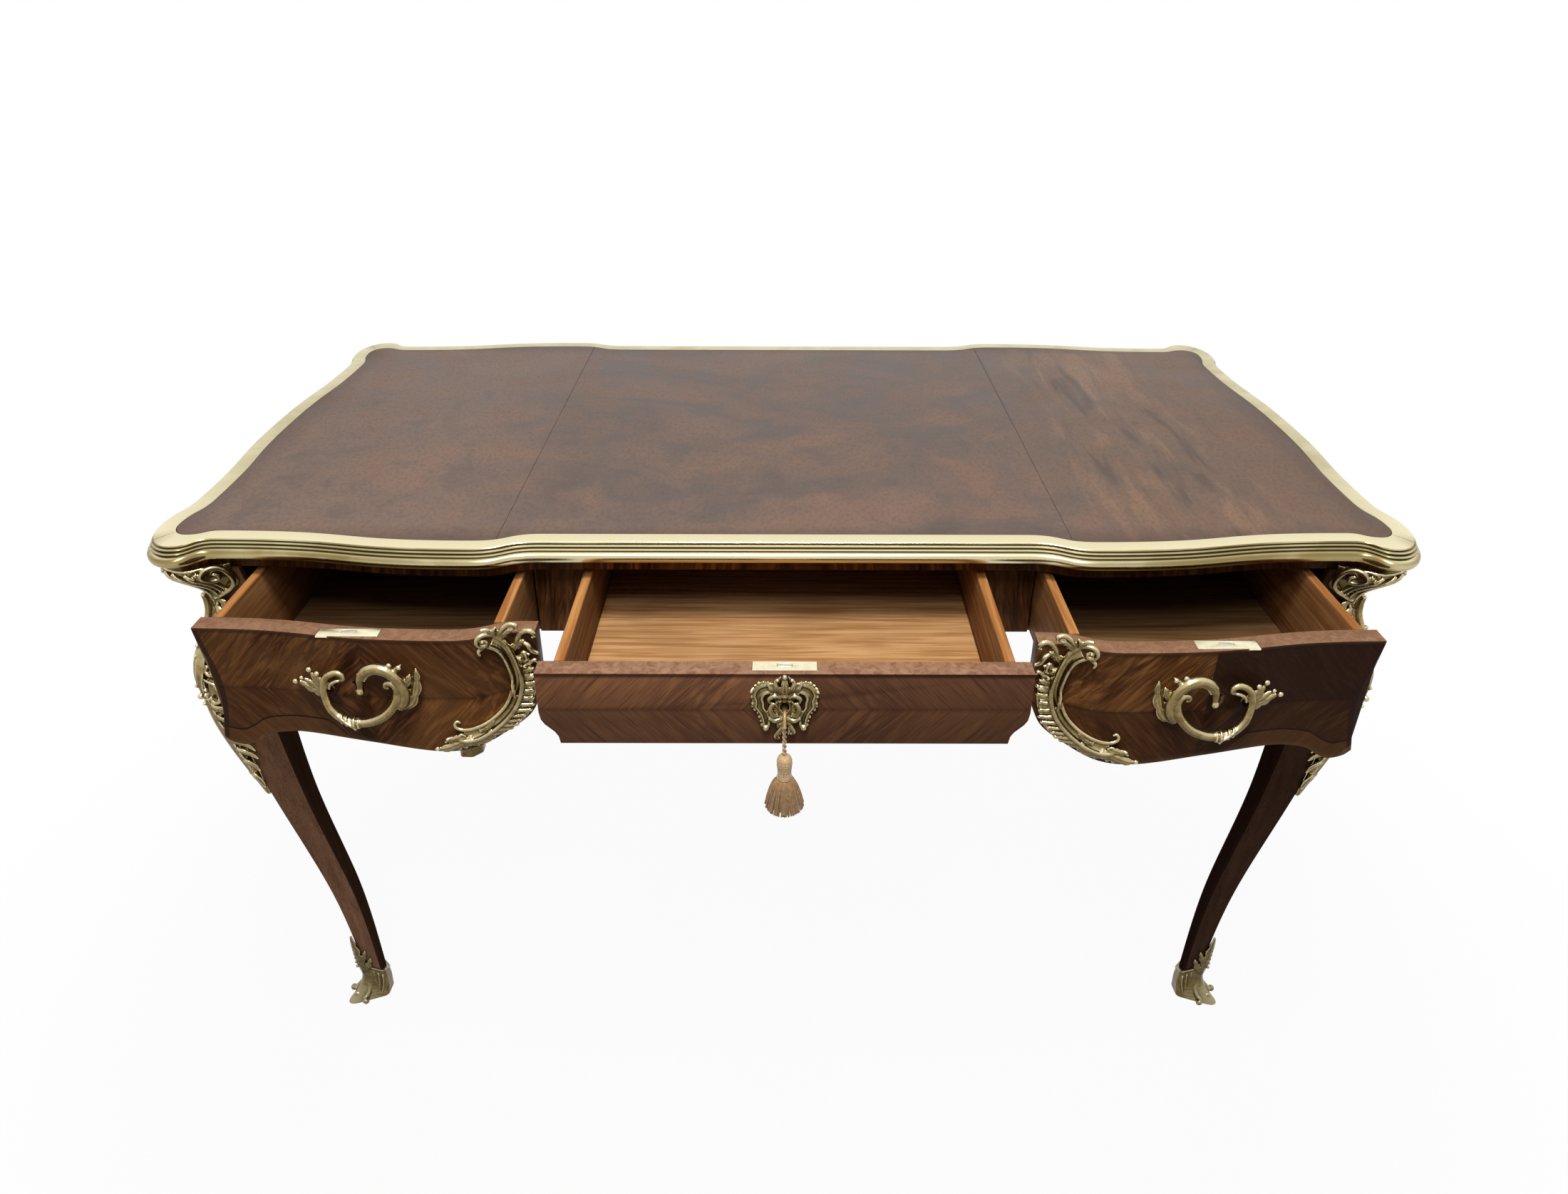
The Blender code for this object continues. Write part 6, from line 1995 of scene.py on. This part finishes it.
@dataclass
class Studio:
    """Camera at the photograph's place, soft lights, and a white floor and world."""

    lens: float = 25.115
    camera_at: tuple[float, float, float] = (-0.003, -1.31015, 1.294)
    pitch: float = 29.43
    roll: float = -0.17
    yaw: float = -0.04
    shadow_reach: tuple[float, float] = (0.75, 1.35)
    floor_glow: float = 0.95

    def camera(self) -> None:
        """Stand the camera where the photograph was taken."""
        data = bpy.data.cameras.new("photograph_camera")
        data.sensor_width = 36.0
        data.sensor_fit = "HORIZONTAL"
        data.lens = self.lens
        camera = bpy.data.objects.new("photograph_camera", data)
        camera.location = self.camera_at
        camera.rotation_euler = Euler((radians(90.0 - self.pitch), radians(self.roll), radians(self.yaw)))
        bpy.context.scene.collection.objects.link(camera)
        bpy.context.scene.camera = camera

    def lamp(self, name: str, at: Sequence[float], aim: Sequence[float], size: float, power: float,
             mirrored_in: bool = True) -> None:
        """A square soft box aimed at a point, which gloss may show or not.

        Args:
            name: the lamp's name.
            at: its place.
            aim: the point that it faces.
            size: its side.
            power: its power in watts.
            mirrored_in: whether gloss shows it.
        """
        data = bpy.data.lights.new(name, "AREA")
        data.shape = "SQUARE"
        data.size = size
        data.energy = power
        lamp = bpy.data.objects.new(name, data)
        lamp.location = at
        lamp.visible_glossy = mirrored_in
        lamp.rotation_euler = (Vector(aim) - Vector(at)).to_track_quat("-Z", "Y").to_euler()
        bpy.context.scene.collection.objects.link(lamp)

    def background(self, nodes: bpy.types.Nodes, links: bpy.types.NodeLinks) -> bpy.types.NodeSocket:
        """One where the camera, a reflection or a view through glass looks.

        Args:
            nodes: the tree's nodes.
            links: the tree's links.

        Returns:
            The value.
        """
        path = nodes.new("ShaderNodeLightPath")
        total = path.outputs["Is Camera Ray"]
        for ray in ("Is Glossy Ray", "Is Transmission Ray"):
            either = nodes.new("ShaderNodeMath")
            either.operation = "MAXIMUM"
            links.new(total, either.inputs[0])
            links.new(path.outputs[ray], either.inputs[1])
            total = either.outputs[0]
        return total

    def world(self) -> None:
        """An even grey light that shows white."""
        world = bpy.data.worlds.new("white_studio")
        world.use_nodes = True
        bpy.context.scene.world = world
        nodes, links = world.node_tree.nodes, world.node_tree.links
        light = nodes["Background"]
        light.inputs["Color"].default_value = (0.95, 0.97, 1.0, 1.0)
        light.inputs["Strength"].default_value = 0.18
        shown = nodes.new("ShaderNodeBackground")
        shown.inputs["Color"].default_value = (1.0, 1.0, 1.0, 1.0)
        either = nodes.new("ShaderNodeMixShader")
        links.new(self.background(nodes, links), either.inputs[0])
        links.new(light.outputs[0], either.inputs[1])
        links.new(shown.outputs[0], either.inputs[2])
        links.new(either.outputs[0], nodes["World Output"].inputs["Surface"])

    def floor(self) -> None:
        """A pale floor that keeps a light shadow."""
        bpy.ops.object.select_all(action="DESELECT")
        bpy.ops.mesh.primitive_grid_add(x_subdivisions=4, y_subdivisions=4, size=14.0)
        floor = bpy.context.object
        floor.name = "studio_floor"
        material = bpy.data.materials.new("studio_floor_white")
        material.use_nodes = True
        nodes, links = material.node_tree.nodes, material.node_tree.links
        matt = nodes["Principled BSDF"]
        matt.inputs["Base Color"].default_value = (0.50, 0.50, 0.50, 1.0)
        matt.inputs["Roughness"].default_value = 0.9
        glow = nodes.new("ShaderNodeEmission")
        away = nodes.new("ShaderNodeVectorMath")
        away.operation = "LENGTH"
        links.new(nodes.new("ShaderNodeTexCoord").outputs["Object"], away.inputs[0])
        fade = nodes.new("ShaderNodeMapRange")
        for socket, value in zip(fade.inputs[1:5], (*self.shadow_reach, self.floor_glow, 1.0)):
            socket.default_value = value
        links.new(away.outputs["Value"], fade.inputs[0])
        share = nodes.new("ShaderNodeMath")
        share.operation = "MULTIPLY"
        links.new(fade.outputs[0], share.inputs[1])
        links.new(self.background(nodes, links), share.inputs[0])
        either = nodes.new("ShaderNodeMixShader")
        links.new(share.outputs[0], either.inputs[0])
        links.new(matt.outputs[0], either.inputs[1])
        links.new(glow.outputs[0], either.inputs[2])
        links.new(either.outputs[0], nodes["Material Output"].inputs["Surface"])
        floor.data.materials.append(material)

    def build(self) -> None:
        """Set up the whole studio."""
        self.camera()
        self.lamp("soft_box_over", (0.0, -1.05, 2.55), (0.0, 0.0, 0.60), 0.45, 31.0)
        self.lamp("soft_box_front", (-0.2, -1.6, 2.3), (0.0, -0.1, 0.55), 0.4, 10.0)
        self.lamp("soft_box_back", (0.5, 3.1, 1.2), (0.0, 0.4, 0.55), 1.8, 30.0, False)
        for name, x in (("soft_box_left", -3.0), ("soft_box_right", 3.0)):
            self.lamp(name, (x, 0.5, 1.0), (0.0, 0.1, 0.5), 1.4, 6.0, False)
        self.world()
        self.floor()
        bpy.context.scene.view_settings.view_transform = "Standard"


def main() -> None:
    """Set up the studio, then build the dressed table piece by piece."""
    logging.basicConfig(level=logging.INFO, format="%(message)s")
    for work in (Studio(), Tassel(), Top(), Carcass(), Drawers(), FrontMounts(), LegMounts()):
        work.build()


if __name__ == "__main__":
    main()
